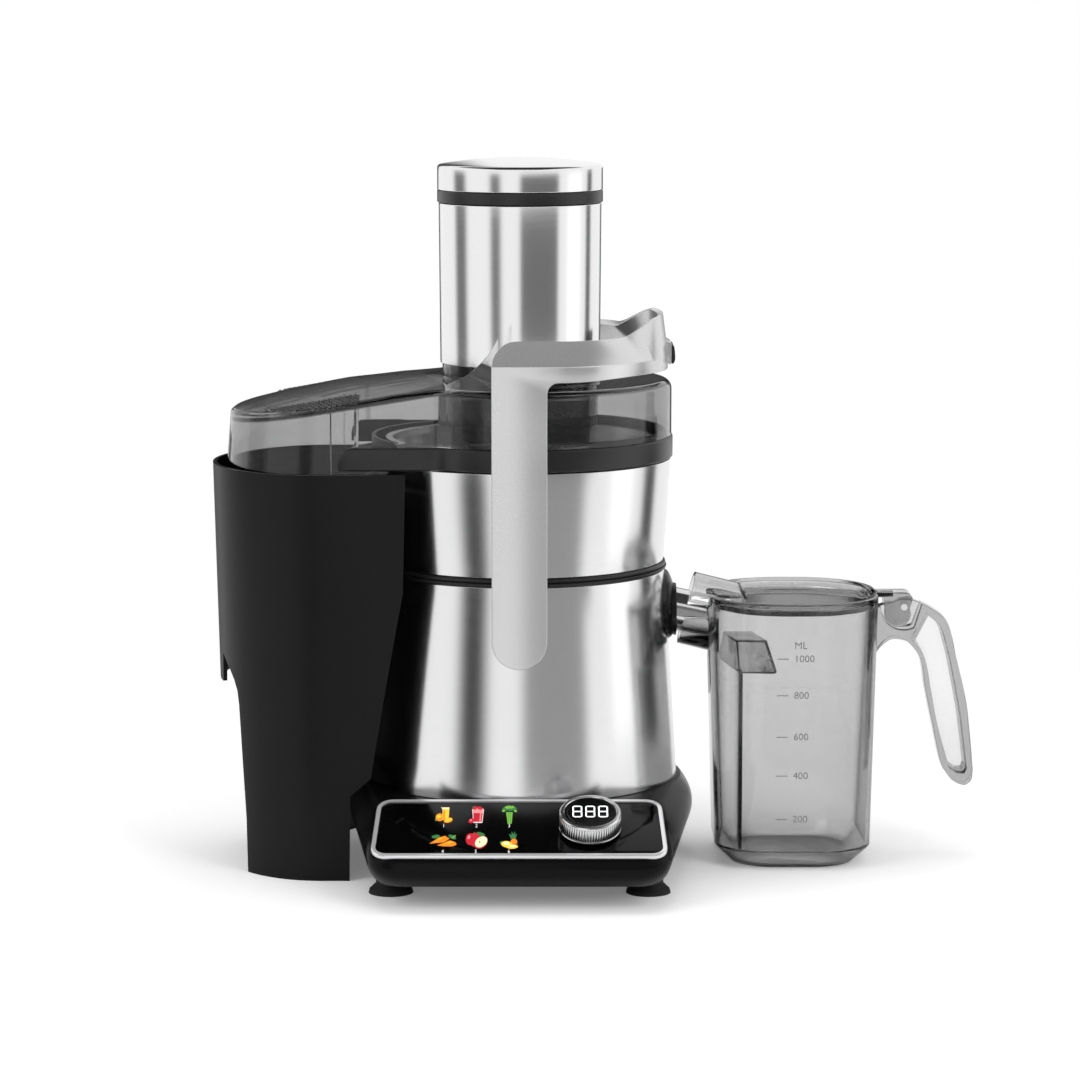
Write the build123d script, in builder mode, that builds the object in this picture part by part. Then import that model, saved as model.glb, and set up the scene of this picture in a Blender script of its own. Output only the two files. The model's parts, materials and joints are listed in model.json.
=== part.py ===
"""A centrifugal juicer: motor base, juice bowl, spinning filter basket, clear lid with a wide feed
tube and pusher, swing-over locking arm, slide-out pulp bin and a juice jug with a hinged lid.

Millimetres, +Z up, the counter at Z = 0. The control panel faces -Y, the pulp bin stands at -X and
the juice jug at +X. Everything is drawn about the motor axis, and each finished piece is then moved so
that the origin is the middle of the whole footprint.
"""

import math
import os

from build123d import *

os.makedirs("parts", exist_ok=True)

# Where the motor axis stands in the finished model
MOTOR_AXIS_AT = (-44.0, 21.5, 0.0)

# Heights of the main body
BASE_UNDERSIDE = 12.0
BASE_WAIST_Z = 29.0
BASE_TOP_Z = 49.5
SHELL_BOTTOM_Z, SHELL_TOP_Z = 49.7, 172.5
SEAM_Z0, SEAM_Z1 = 172.7, 177.5
JACKET_Z0, JACKET_Z1 = 177.7, 237.8
BAND_Z0, BAND_Z1 = 238.0, 251.5
LID_SEAT_Z = 251.7
LID_TOP_Z = 284.0
TUBE_Z0, TUBE_Z1 = 293.6, 386.5
PUSHER_TOP_Z = 412.6

# Radii of the main body
SHELL_FOOT_R, SHELL_HEAD_R = 92.4, 84.7
JACKET_FOOT_R, JACKET_HEAD_R = 84.0, 88.0
STEEL = 0.9
WALL = 2.4
BAND_R = 89.3
LID_R = 88.5
TUBE_FOOT_R, TUBE_HEAD_R = 46.6, 47.3
COLLAR_R, COLLAR_BORE_R = 45.4, 41.0
CHUTE_R, CHUTE_BORE_R = 40.6, 38.0
CHUTE_BOTTOM_Z = 212.0

# Control panel, a flat tilted face at the front of the base
PANEL_TILT = 21.5
PANEL_CENTRE = (0, -121.6, 42.0)
PANEL_SIZE = (160.0, 57.0)
PANEL_CORNER = 9.0
KNOB_X, KNOB_V = 39.7, -2.8
KNOB_R, KNOB_TOP = 17.4, 11.4
KNOB_PRESS = 1.2

# Locking arm
PIVOT_Z = 143.3
ARM_HALF = 15.7
ARM_THICK = 4.5
ARM_FRONT = 96.5
ARM_REACH = 86.2
ARM_BEND_X = 22.0
ARM_CREASE_Z, ARM_TOP_Z, ARM_UNDER_Z = 299.4, 312.9, 290.3

# Juice spout, sloping down to the right
SPOUT_SLOPE = 12.0
SPOUT_R, SPOUT_BORE_R = 12.7, 11.7
SPOUT_START, SPOUT_END_X, SPOUT_REF_Z = 74.0, 113.0, 142.6

# Pulp bin
BIN_RIM_Z = 236.0
BIN_CENTRE_X = -114.0
BIN_TOP = (66.0, 77.5)
BIN_FOOT = (60.5, 72.5)
BIN_WALL = 2.3

# Juice jug
JUG_X = 160.0
JUG_RIM_Z = 155.0
JUG_WALL = 2.4
JUG_HINGE = (225.7, 149.5)
TROUGH_R, TROUGH_Z, TROUGH_X = 14.2, 143.8, 92.6


def line_at(value, start, end):
    """Linear interpolation between two (input, output) pairs."""
    share = (value - start[0]) / (end[0] - start[0])
    return start[1] + share * (end[1] - start[1])


def shell_r(z):
    return line_at(z, (SHELL_BOTTOM_Z, SHELL_FOOT_R), (SHELL_TOP_Z, SHELL_HEAD_R))


def jacket_r(z):
    return line_at(z, (JACKET_Z0, JACKET_FOOT_R), (JACKET_Z1, JACKET_HEAD_R))


def turned(outline, axis=Axis.Z, mode=Mode.ADD):
    """Solid of revolution from a closed (radius, height) outline in the XZ plane."""
    with BuildSketch(Plane.XZ) as profile:
        with BuildLine():
            Polyline(*outline, close=True)
        make_face()
    revolve(profile.sketch, axis=axis, mode=mode)


def post(radius, z0, z1, at=((0, 0),), bore=0.0, mode=Mode.ADD):
    """Upright cylinders or tubes standing on the given (x, y) places."""
    with BuildSketch(Plane.XY.offset(z0)) as profile:
        with Locations(*at):
            Circle(radius)
            if bore:
                Circle(bore, mode=Mode.SUBTRACT)
    extrude(profile.sketch, amount=z1 - z0, mode=mode)


def crosswise(radius, x, z, y0, y1, bore=0.0, mode=Mode.ADD):
    """A cylinder lying along Y, between y0 and y1."""
    with BuildSketch(Plane.XZ.offset(-y0)) as profile:
        with Locations((x, z)):
            Circle(radius)
            if bore:
                Circle(bore, mode=Mode.SUBTRACT)
    extrude(profile.sketch, amount=y0 - y1, mode=mode)


def finished(builder, name):
    """Names the piece and writes its file."""
    placed = builder.part.moved(Location(MOTOR_AXIS_AT))
    placed.label = name
    export_step(placed, f"parts/{name}.step")


# Base

def shield(z, half_front, front_y, corner, back_r):
    """Plan of the base: a round back whose sides run tangent to a straight front with round corners."""
    reach = math.hypot(half_front, front_y)
    bearing = math.atan2(front_y, half_front) + math.acos(back_r / reach)
    tangent = (back_r * math.cos(bearing), back_r * math.sin(bearing))
    with BuildSketch(Plane.XY.offset(z)) as plan:
        with BuildLine():
            Polyline(tangent, (half_front, front_y), (-half_front, front_y), (-tangent[0], tangent[1]))
            ThreePointArc((-tangent[0], tangent[1]), (0, back_r), tangent)
        make_face()
        fillet(plan.vertices().group_by(Axis.Y)[0], corner)
    return plan.sketch


panel_plane = Plane(
    origin=PANEL_CENTRE,
    x_dir=(1, 0, 0),
    z_dir=(0, -math.sin(math.radians(PANEL_TILT)), math.cos(math.radians(PANEL_TILT))),
)
FRONT_FEET = [(-73.2, -99.0), (73.2, -99.0)]
BACK_FEET = [(-60.0, 58.0), (60.0, 58.0)]
FEET = FRONT_FEET + BACK_FEET
BASE_SCREWS = [(-71, -120), (71, -120), (-30, 76), (30, 76)]

# The cavity is the outer form drawn in, thicker behind the panel
with BuildPart() as base_cavity:
    loft([
        shield(BASE_UNDERSIDE - 1, 73, -134, 15, 88),
        shield(BASE_WAIST_Z, 77, -144, 18, 98.5),
        shield(BASE_TOP_Z - 3.5, 72, -86, 14, 90.5),
    ])
    with BuildSketch(panel_plane.offset(-4.6)):
        Rectangle(400, 200)
    extrude(amount=60, mode=Mode.SUBTRACT)
    # Screw posts and their ribs are left standing
    post(4.0, BASE_UNDERSIDE + 2.7, 60, at=BASE_SCREWS, mode=Mode.SUBTRACT)
    with BuildSketch(Plane.XY.offset(BASE_UNDERSIDE + 2.7)):
        with Locations((-30, 90), (30, 90)):
            Rectangle(5, 30)
    extrude(amount=40, mode=Mode.SUBTRACT)

with BuildPart() as base_housing:
    loft([
        shield(BASE_UNDERSIDE, 76, -137, 18, 91),
        shield(BASE_WAIST_Z, 81.5, -149, 22, 101.5),
        shield(BASE_TOP_Z, 77, -96, 17, 95),
    ])
    # The control panel's face, cut flat
    with BuildSketch(panel_plane):
        with Locations((0, -20)):
            Rectangle(300, 97)
    extrude(amount=40, mode=Mode.SUBTRACT)
    add(base_cavity.part, mode=Mode.SUBTRACT)
    # Pocket for the bezel and glass, with a window behind for the board
    with BuildSketch(panel_plane.offset(-2.0)):
        RectangleRounded(PANEL_SIZE[0] + 0.4, PANEL_SIZE[1] + 0.4, PANEL_CORNER + 0.2)
    extrude(amount=20, mode=Mode.SUBTRACT)
    with BuildSketch(panel_plane.offset(-12)):
        RectangleRounded(PANEL_SIZE[0] - 30, PANEL_SIZE[1] - 14, 4)
    extrude(amount=20, mode=Mode.SUBTRACT)
    # Well that the motor frame stands in, and the cord's way out at the back
    post(88.0, BASE_TOP_Z - 12, BASE_TOP_Z + 5, mode=Mode.SUBTRACT)
    crosswise(5.2, 0, 30, 90, 115, mode=Mode.SUBTRACT)
    post(1.6, BASE_UNDERSIDE, 22, at=BASE_SCREWS, mode=Mode.SUBTRACT)
finished(base_housing, "base_housing")

with BuildPart() as base_plate:
    extrude(shield(BASE_UNDERSIDE, 72.5, -133.3, 14.5, 87.3), amount=2.5)
    # Foot sockets, screw heads and cooling slots under the motor fan
    post(4.3, BASE_UNDERSIDE - 1, BASE_UNDERSIDE + 4, at=FEET, mode=Mode.SUBTRACT)
    post(1.7, BASE_UNDERSIDE - 1, BASE_UNDERSIDE + 4, at=BASE_SCREWS, mode=Mode.SUBTRACT)
    with BuildSketch(Plane.XY.offset(BASE_UNDERSIDE - 1)):
        with PolarLocations(34, 14):
            SlotOverall(24, 4)
    extrude(amount=5, mode=Mode.SUBTRACT)
finished(base_plate, "base_plate")

with BuildPart() as suction_feet:
    # One hollow rubber cup, its neck and a button that snaps through the plate
    cup = [(9.0, 0), (12.8, 0), (12.2, 2.2), (8.6, 5.6), (8.6, 11.8), (4.2, 11.8), (4.2, 14.8),
           (4.6, 14.8), (4.6, 15.6), (3.4, 17.5), (0, 17.5), (0, 4.0)]
    for x, y in FEET:
        with BuildSketch(Plane(origin=(x, y, 0), x_dir=(1, 0, 0), z_dir=(0, -1, 0))):
            with BuildLine():
                Polyline(*cup, close=True)
            make_face()
        revolve(axis=Axis((x, y, 0), (0, 0, 1)))
finished(suction_feet, "suction_feet")

with BuildPart() as base_screws:
    post(3.2, BASE_UNDERSIDE - 2.0, BASE_UNDERSIDE - 0.1, at=BASE_SCREWS)
    post(1.5, BASE_UNDERSIDE - 0.2, 21.5, at=BASE_SCREWS)
    with BuildSketch(Plane.XY.offset(BASE_UNDERSIDE - 2.0)):
        with Locations(*BASE_SCREWS):
            Rectangle(3.6, 0.8)
            Rectangle(0.8, 3.6)
    extrude(amount=1.0, mode=Mode.SUBTRACT)
finished(base_screws, "base_screws")

with BuildPart() as cord_gland:
    crosswise(8.0, 0, 30, 105.2, 108.0, bore=2.6)
    crosswise(5.0, 0, 30, 94.5, 105.2, bore=2.6)
    crosswise(6.4, 0, 30, 91.5, 94.5, bore=2.6)
finished(cord_gland, "cord_gland")

# Control panel

with BuildPart() as panel_bezel:
    with BuildSketch(panel_plane.offset(-1.9)):
        RectangleRounded(*PANEL_SIZE, PANEL_CORNER)
        RectangleRounded(PANEL_SIZE[0] - 5, PANEL_SIZE[1] - 5, PANEL_CORNER - 2.5, mode=Mode.SUBTRACT)
    extrude(amount=2.7)
    chamfer(panel_bezel.faces().sort_by(SortBy.DISTANCE).filter_by(
        lambda f: f.normal_at().dot(panel_plane.z_dir) > 0.99).edges(), 0.6)
finished(panel_bezel, "panel_bezel")

with BuildPart() as panel_glass:
    with BuildSketch(panel_plane.offset(-1.9)):
        RectangleRounded(PANEL_SIZE[0] - 5.2, PANEL_SIZE[1] - 5.2, PANEL_CORNER - 2.6)
        with Locations((KNOB_X, KNOB_V)):
            Circle(4.8, mode=Mode.SUBTRACT)
    extrude(amount=2.1)
finished(panel_glass, "panel_glass")

with BuildPart() as control_board:
    with BuildSketch(panel_plane.offset(-7.2)):
        Rectangle(124, 38)
        with Locations((KNOB_X, KNOB_V)):
            Circle(8.0, mode=Mode.SUBTRACT)
    extrude(amount=1.6)
    # Relay, capacitor and touch sensor row on the board's two faces
    with BuildSketch(panel_plane.offset(-7.2)):
        with Locations((-45, 4)):
            Rectangle(18, 14)
    extrude(amount=-8)
    with BuildSketch(panel_plane.offset(-5.6)):
        with GridLocations(18, 14, 3, 2):
            Rectangle(9, 8)
    extrude(amount=1.6)
finished(control_board, "control_board")

with BuildPart() as knob_encoder:
    with BuildSketch(panel_plane.offset(-13.5)):
        with Locations((KNOB_X, KNOB_V)):
            Circle(7.6)
            Circle(3.4, mode=Mode.SUBTRACT)
    extrude(amount=9.0)
finished(knob_encoder, "knob_encoder")

knob_plane = panel_plane.shift_origin(panel_plane.from_local_coords((KNOB_X, KNOB_V, 0)))

with BuildPart() as knob_display:
    # Display cup inside the ring, on a stem that runs into the encoder
    with BuildSketch(knob_plane.offset(1.7)):
        Circle(14.2)
    extrude(amount=KNOB_TOP - 2.2)
    with BuildSketch(knob_plane.offset(-11.0)):
        Circle(3.0)
    extrude(amount=13)
finished(knob_display, "knob_display")

with BuildPart() as knob_ring:
    with BuildSketch(knob_plane.offset(1.7)):
        Circle(KNOB_R)
        Circle(14.55, mode=Mode.SUBTRACT)
    extrude(amount=KNOB_TOP - 1.7)
    rim_edges = knob_ring.edges().filter_by(GeomType.CIRCLE)
    chamfer([e for e in rim_edges if abs(e.radius - KNOB_R) < 0.01], 0.9)
    # Knurl: shallow flutes round the side
    with BuildSketch(knob_plane.offset(2.8)):
        with PolarLocations(KNOB_R + 0.25, 48):
            Circle(0.62)
    extrude(amount=KNOB_TOP - 3.9, mode=Mode.SUBTRACT)
finished(knob_ring, "knob_ring")

# Lower body

notch_width, notch_bottom = 46.0, 129.6


def spout_notch(grow, mode):
    """U-shaped opening, open at the top, that the spout drops into on the right."""
    with BuildSketch(Plane.YZ.offset(60)) as notch:
        with Locations((0, SHELL_TOP_Z)):
            Ellipse(notch_width / 2 + grow, SHELL_TOP_Z - notch_bottom + grow)
        with Locations((0, SHELL_TOP_Z + 60.1 + grow)):
            Rectangle(200, 120, mode=Mode.SUBTRACT)
    extrude(notch.sketch, amount=60, mode=mode)


with BuildPart() as lower_steel_shell:
    z0, z1 = SHELL_BOTTOM_Z, SHELL_TOP_Z
    turned([(shell_r(z0), z0), (shell_r(z1), z1), (shell_r(z1) - STEEL, z1), (shell_r(z0) - STEEL, z0)])
    spout_notch(0.4, Mode.SUBTRACT)
    crosswise(10.3, 0, PIVOT_Z, -110, 110, mode=Mode.SUBTRACT)
finished(lower_steel_shell, "lower_steel_shell")

DECK_Z = 128.0
with BuildPart() as motor_frame:
    inset = STEEL + 0.15
    foot_r, r1 = shell_r(SHELL_BOTTOM_Z) - inset, shell_r(SHELL_TOP_Z) - inset
    turned([(87.6, 38), (87.6, SHELL_BOTTOM_Z), (foot_r, SHELL_BOTTOM_Z), (r1, SHELL_TOP_Z), (r1 - WALL, SHELL_TOP_Z),
            (shell_r(DECK_Z) - inset - WALL, DECK_Z + 3), (14, DECK_Z + 3), (14, DECK_Z),
            (shell_r(DECK_Z) - inset - WALL, DECK_Z), (84.6, 38)])
    spout_notch(0.4, Mode.SUBTRACT)
    # Pivot pins cross the wall; vents let the motor breathe; screws hold the motor's top bracket
    crosswise(4.1, 0, PIVOT_Z, -110, 110, mode=Mode.SUBTRACT)
    post(2.6, DECK_Z - 1, DECK_Z + 4, at=[(33, 33), (33, -33), (-33, 33), (-33, -33)], mode=Mode.SUBTRACT)
finished(motor_frame, "motor_frame")

with BuildPart() as seam_ring:
    # Two beads with a groove between, under the bowl's shoulder
    mid = (SEAM_Z0 + SEAM_Z1) / 2
    turned([(80.4, SEAM_Z0), (85.6, SEAM_Z0), (85.6, mid - 0.5), (84.8, mid), (85.4, mid + 0.5),
            (85.4, SEAM_Z1), (80.4, SEAM_Z1)])
finished(seam_ring, "seam_ring")

# Motor, hanging from the deck

with BuildPart() as motor_top_bracket:
    post(46, 117, 120, bore=11.1)
    with BuildSketch(Plane.XY.offset(117)):
        with GridLocations(66, 66, 2, 2):
            Circle(7)
    extrude(amount=3)
    post(2.7, 116, 121, at=[(33, 33), (33, -33), (-33, 33), (-33, -33)], mode=Mode.SUBTRACT)
    # Legs down to the stator
    for turn in (0, 180):
        with BuildSketch(Plane.XY.rotated((0, 0, turn)).offset(98)):
            with Locations((42.5, 0)):
                Rectangle(4, 26)
        extrude(amount=19)
finished(motor_top_bracket, "motor_top_bracket")

with BuildPart() as motor_bushes:
    post(6.5, 120.1, DECK_Z - 0.1, at=[(33, 33), (33, -33), (-33, 33), (-33, -33)], bore=2.6)
finished(motor_bushes, "motor_bushes")

with BuildPart() as motor_screws:
    spots = [(33, 33), (33, -33), (-33, 33), (-33, -33)]
    post(2.4, 113.5, DECK_Z + 3.1, at=spots)
    post(4.6, DECK_Z + 3.1, DECK_Z + 5.6, at=spots)
finished(motor_screws, "motor_screws")

with BuildPart() as motor_stator:
    with BuildSketch(Plane.XY.offset(60)):
        Circle(44)
        Rectangle(76, 120, mode=Mode.INTERSECT)
        Circle(25.0, mode=Mode.SUBTRACT)
        # Slots that the field coils' legs run through
        with GridLocations(35, 61, 2, 2):
            Rectangle(5.6, 6.6, mode=Mode.SUBTRACT)
    extrude(amount=37.8)
finished(motor_stator, "motor_stator")

with BuildPart() as field_coils:
    # A flat loop of wire round each of the two poles
    for y in (27.6, -33.4):
        with BuildSketch(Plane.XZ.offset(-y - 5.8)):
            with Locations((0, 79)):
                RectangleRounded(39.8, 51, 4)
                RectangleRounded(30.4, 39.2, 1, mode=Mode.SUBTRACT)
        extrude(amount=5.8)
finished(field_coils, "field_coils")

with BuildPart() as motor_bottom_bracket:
    post(30, 36, 39, bore=9.1)
    for turn in (0, 180):
        with BuildSketch(Plane.XY.rotated((0, 0, turn)).offset(36)):
            with Locations((32, 0)):
                Rectangle(14, 22)
        extrude(amount=3)
        with BuildSketch(Plane.XY.rotated((0, 0, turn)).offset(39)):
            with Locations((37, 0)):
                Rectangle(4, 22)
        extrude(amount=20.8)
finished(motor_bottom_bracket, "motor_bottom_bracket")

with BuildPart() as motor_bearings:
    post(11.0, 115.5, 122.5, bore=4.05)
    post(9.0, 34.5, 40.5, bore=4.05)
finished(motor_bearings, "motor_bearings")

with BuildPart() as brush_holders:
    for turn in (0, 180):
        with BuildSketch(Plane.YZ.rotated((0, 0, turn)).offset(12.6)):
            with Locations((0, 48)):
                Rectangle(8, 7)
        extrude(amount=19)
finished(brush_holders, "brush_holders")

with BuildPart() as motor_shaft:
    post(4.0, 30, 196)
    chamfer(motor_shaft.edges().sort_by(Axis.Z)[-1], 0.8)
finished(motor_shaft, "motor_shaft")

with BuildPart() as motor_armature:
    with BuildSketch(Plane.XY.offset(60)):
        Circle(24.3)
        Circle(4.02, mode=Mode.SUBTRACT)
        with PolarLocations(22, 12):
            SlotOverall(7, 2.6, mode=Mode.SUBTRACT)
    extrude(amount=37.8)
    post(18, 54.5, 60, bore=4.02)
    post(18, 97.8, 103.5, bore=4.02)
finished(motor_armature, "motor_armature")

with BuildPart() as commutator:
    with BuildSketch(Plane.XY.offset(42.5)):
        Circle(12.2)
        Circle(4.02, mode=Mode.SUBTRACT)
        with PolarLocations(12.2, 24):
            Rectangle(1.4, 0.7, mode=Mode.SUBTRACT)
    extrude(amount=11.5)
finished(commutator, "commutator")

with BuildPart() as cooling_fan:
    post(36, 105.5, 107.0, bore=4.02)
    post(8, 106.5, 114.5, bore=4.02)
    with BuildSketch(Plane.XY.offset(106.5)):
        with PolarLocations(22.5, 12):
            Rectangle(25, 1.4, rotation=24)
    extrude(amount=8)
finished(cooling_fan, "cooling_fan")

with BuildPart() as shaft_seal:
    turned([(4.35, DECK_Z + 0.5), (13.8, DECK_Z + 0.5), (13.8, DECK_Z + 3), (17, DECK_Z + 3.1),
            (17, DECK_Z + 4.6), (9, DECK_Z + 5.2), (6.5, DECK_Z + 9), (4.35, DECK_Z + 9)])
finished(shaft_seal, "shaft_seal")

with BuildPart() as drive_coupling:
    post(10, 150, 172, bore=4.02)
    post(15, 172, 199.4, bore=4.02)
    # Six drive dogs that the basket's socket drops over
    with BuildSketch(Plane.XY.offset(180)):
        with PolarLocations(15, 6):
            Circle(2.6, mode=Mode.ADD)
    extrude(amount=19.4)
finished(drive_coupling, "drive_coupling")

with BuildPart() as interlock_switch:
    with BuildSketch(Plane.XY.offset(DECK_Z - 11.1)):
        with Locations((14, -74.5)):
            Rectangle(17, 7)
    extrude(amount=11)
finished(interlock_switch, "interlock_switch")

# Arm pivots

with BuildPart() as arm_pivot_pins:
    for side in (-1, 1):
        crosswise(4.0, 0, PIVOT_Z, side * 82.3, side * 95)
        crosswise(6.5, 0, PIVOT_Z, side * 80.4, side * 82.3)
finished(arm_pivot_pins, "arm_pivot_pins")

with BuildPart() as arm_pivot_bushes:
    for side in (-1, 1):
        crosswise(10, 0, PIVOT_Z, side * 86.5, side * (ARM_FRONT - ARM_THICK - 0.4), bore=4.1)
finished(arm_pivot_bushes, "arm_pivot_bushes")

# Juice bowl and its trim

spout_down = math.tan(math.radians(SPOUT_SLOPE))
spout_root_z = SPOUT_REF_Z + (SPOUT_END_X - SPOUT_START) * spout_down
spout_plane = Plane(
    origin=(SPOUT_START, 0, spout_root_z),
    x_dir=(0, 1, 0),
    z_dir=(math.cos(math.radians(SPOUT_SLOPE)), 0, -math.sin(math.radians(SPOUT_SLOPE))),
)
SPOUT_LENGTH = (SPOUT_END_X - SPOUT_START) / math.cos(math.radians(SPOUT_SLOPE))

with BuildPart() as juice_bowl:
    gap = STEEL + 0.1
    wall_foot, wall_head = jacket_r(JACKET_Z0) - gap, jacket_r(JACKET_Z1) - gap
    turned([
        (wall_foot, JACKET_Z0), (wall_head, JACKET_Z1), (wall_head, BAND_Z1), (wall_head - WALL, BAND_Z1),
        (wall_head - WALL, JACKET_Z1), (wall_foot - WALL - 0.4, JACKET_Z0 + 3), (76.9, 176), (76.9, 139),
        (25, 141.5), (24.5, 188), (21.5, 188), (21.5, 137), (79.4, 136.5), (79.4, JACKET_Z0),
    ])
    # Sump outlet towards the spout
    with BuildSketch(spout_plane.offset(-12)):
        Circle(SPOUT_R + 0.1)
    extrude(amount=30, mode=Mode.SUBTRACT)
finished(juice_bowl, "juice_bowl")

with BuildPart() as bowl_steel_jacket:
    z0, z1 = JACKET_Z0, JACKET_Z1
    turned([(jacket_r(z0), z0), (jacket_r(z1), z1), (jacket_r(z1) - STEEL, z1), (jacket_r(z0) - STEEL, z0)])
finished(bowl_steel_jacket, "bowl_steel_jacket")

WING_Y, WING_X = 77.6, -103.0
COVER_HALF = 74.6
with BuildPart() as bowl_rim_band:
    # Ring with two side wings that run out over the pulp bin
    with BuildSketch(Plane.XY.offset(BAND_Z0)) as band_plan:
        Circle(BAND_R)
        with Locations((WING_X / 2, 0)):
            Rectangle(-WING_X, 2 * WING_Y)
        inner_corners = band_plan.vertices().filter_by(lambda v: -60 < v.X < -30)
        fillet(inner_corners, 26)
        Circle(wall_head + 0.15, mode=Mode.SUBTRACT)
        with Locations((-95, 0)):
            Rectangle(100, 2 * (WING_Y - 2.4), mode=Mode.SUBTRACT)
    extrude(amount=BAND_Z1 - BAND_Z0)
    # Pulp ramp between the wings, from the bowl's edge out over the bin
    with BuildSketch(Plane.XY.offset(BAND_Z0)):
        Circle(104)
        Circle(wall_head + 0.15, mode=Mode.SUBTRACT)
        with Locations((-82, 0)):
            Rectangle(100, 2 * (COVER_HALF - WALL - 0.9), mode=Mode.INTERSECT)
    extrude(amount=2.0)
    # Wing ends rounded at their upper corner
    wing_tips = bowl_rim_band.edges().filter_by(Axis.Y).group_by(Axis.X)[0].group_by(Axis.Z)[-1]
    fillet(wing_tips, 8)
    outer_lower = bowl_rim_band.faces().sort_by(Axis.Z)[0].outer_wire().edges()
    chamfer([e for e in outer_lower if e.geom_type == GeomType.CIRCLE and abs(e.radius - BAND_R) < 0.1], 1.2)
finished(bowl_rim_band, "bowl_rim_band")

with BuildPart() as spout_escutcheon:
    # Domed black apron that fills the notch and carries the spout
    spout_notch(0.0, Mode.ADD)
    with BuildSketch(Plane.XY.offset(100)):
        with Locations((100, 0)):
            Rectangle(2 * (100 - 91.3), 200)
    extrude(amount=120, mode=Mode.SUBTRACT)
    split(bisect_by=Plane.XY.offset(SHELL_TOP_Z - 0.1), keep=Keep.BOTTOM)
    split(bisect_by=Plane.YZ.offset(91.3), keep=Keep.BOTTOM)
    front_edges = spout_escutcheon.faces().sort_by(Axis.X)[-1].edges()
    fillet([e for e in front_edges if e.geom_type != GeomType.LINE], 6.5)
    post(79.6, 100, 200, mode=Mode.SUBTRACT)
    with BuildSketch(spout_plane.offset(-20)):
        Circle(SPOUT_R + 0.1)
    extrude(amount=80, mode=Mode.SUBTRACT)
finished(spout_escutcheon, "spout_escutcheon")

with BuildPart() as juice_spout:
    with BuildSketch(spout_plane):
        Circle(SPOUT_R)
        Circle(SPOUT_BORE_R, mode=Mode.SUBTRACT)
    extrude(amount=SPOUT_LENGTH)
finished(juice_spout, "juice_spout")

# Filter basket and grater, spinning on the motor shaft

BASKET_FLOOR_Z, BASKET_FLOOR_R = 203.0, 54.0
BASKET_RIM_Z, BASKET_RIM_R = 250.0, 78.5

with BuildPart() as filter_basket:
    # Floor, cone and rolled rim, with a socket under the floor that drops over the drive dogs
    turned([
        (18.4, 186), (21.0, 186), (21.0, BASKET_FLOOR_Z - 1), (BASKET_FLOOR_R, BASKET_FLOOR_Z - 1),
        (75.2, BASKET_RIM_Z - 5), (78.5, BASKET_RIM_Z - 4.4), (78.5, BASKET_RIM_Z), (74.6, BASKET_RIM_Z),
        (74.4, BASKET_RIM_Z - 4), (BASKET_FLOOR_R - 0.6, BASKET_FLOOR_Z), (4.3, BASKET_FLOOR_Z),
        (4.3, BASKET_FLOOR_Z - 1.4), (18.4, BASKET_FLOOR_Z - 1.4),
    ])
    # Drain slots through the mesh cone
    slope = math.degrees(math.atan2(BASKET_RIM_Z - BASKET_FLOOR_Z - 4, 75.2 - BASKET_FLOOR_R))
    with BuildSketch(Plane.XY.offset(BASKET_FLOOR_Z + 6)):
        with PolarLocations(65, 40):
            SlotOverall(13, 1.6)
    extrude(amount=34, mode=Mode.SUBTRACT)
finished(filter_basket, "filter_basket")

with BuildPart() as grater_disc:
    post(48, BASKET_FLOOR_Z + 0.1, BASKET_FLOOR_Z + 1.5, bore=4.3)
    # Rings of small raked teeth
    for ring_r, count in ((14, 8), (24, 14), (34, 20), (43, 26)):
        with BuildSketch(Plane.XY.offset(BASKET_FLOOR_Z + 1.4)):
            with PolarLocations(ring_r, count):
                Triangle(a=4.0, b=4.0, c=1.8)
        extrude(amount=2.2)
finished(grater_disc, "grater_disc")

with BuildPart() as basket_nut:
    post(7.5, BASKET_FLOOR_Z + 1.7, BASKET_FLOOR_Z + 5.0)
    fillet(basket_nut.edges().sort_by(Axis.Z)[-1], 1.5)
finished(basket_nut, "basket_nut")

# Lid

# Crown of the cover over the bin: (x, height at the side walls, rise at the middle)
COVER_CROWN = [(-178, 262.5, 2.0), (-140, 270.0, 5.0), (-103, 275.5, 7.5), (-70, 281.5, 4.5), (-36, 286.0, 2.5)]
COVER_LEFT = 58.0
SKIRT_Z = 230.5


def lid_form(inset, bottom_z):
    """Outer form of the lid, drawn in by the inset: a round cap joined to the crowned bin cover."""
    with BuildPart() as cover:
        for x, side_z, rise in COVER_CROWN:
            with BuildSketch(Plane.YZ.offset(x)):
                with BuildLine():
                    Polyline((-90, side_z - inset - 1), (-90, 200), (90, 200), (90, side_z - inset - 1))
                    ThreePointArc((-90, side_z - inset - 1), (0, side_z + rise - inset), (90, side_z - inset - 1))
                make_face()
        loft()
        with BuildSketch(Plane.XY.offset(bottom_z)) as plan:
            with Locations((BIN_CENTRE_X, 0)):
                Ellipse(COVER_LEFT - inset, COVER_HALF - inset)
            with Locations(((BIN_CENTRE_X - 37) / 2, 0)):
                Rectangle(-37 - BIN_CENTRE_X, 2 * (COVER_HALF - inset))
        extrude(amount=100, mode=Mode.INTERSECT)
        # The cover's skirt hangs only over the bin, clear of the bowl's band and ramp
        post(104.6 if not inset else BAND_R - WALL, 100, LID_SEAT_Z, mode=Mode.SUBTRACT)
    with BuildPart() as cap:
        post(LID_R - inset, LID_SEAT_Z - (1 if inset else 0), LID_TOP_Z - inset)
        fillet(cap.edges().group_by(Axis.Z)[-1], 6.5 - inset)
    return cover.part + cap.part


lid_outer = lid_form(0, SKIRT_Z)
lid_inner = lid_form(WALL, SKIRT_Z - 1)

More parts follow.
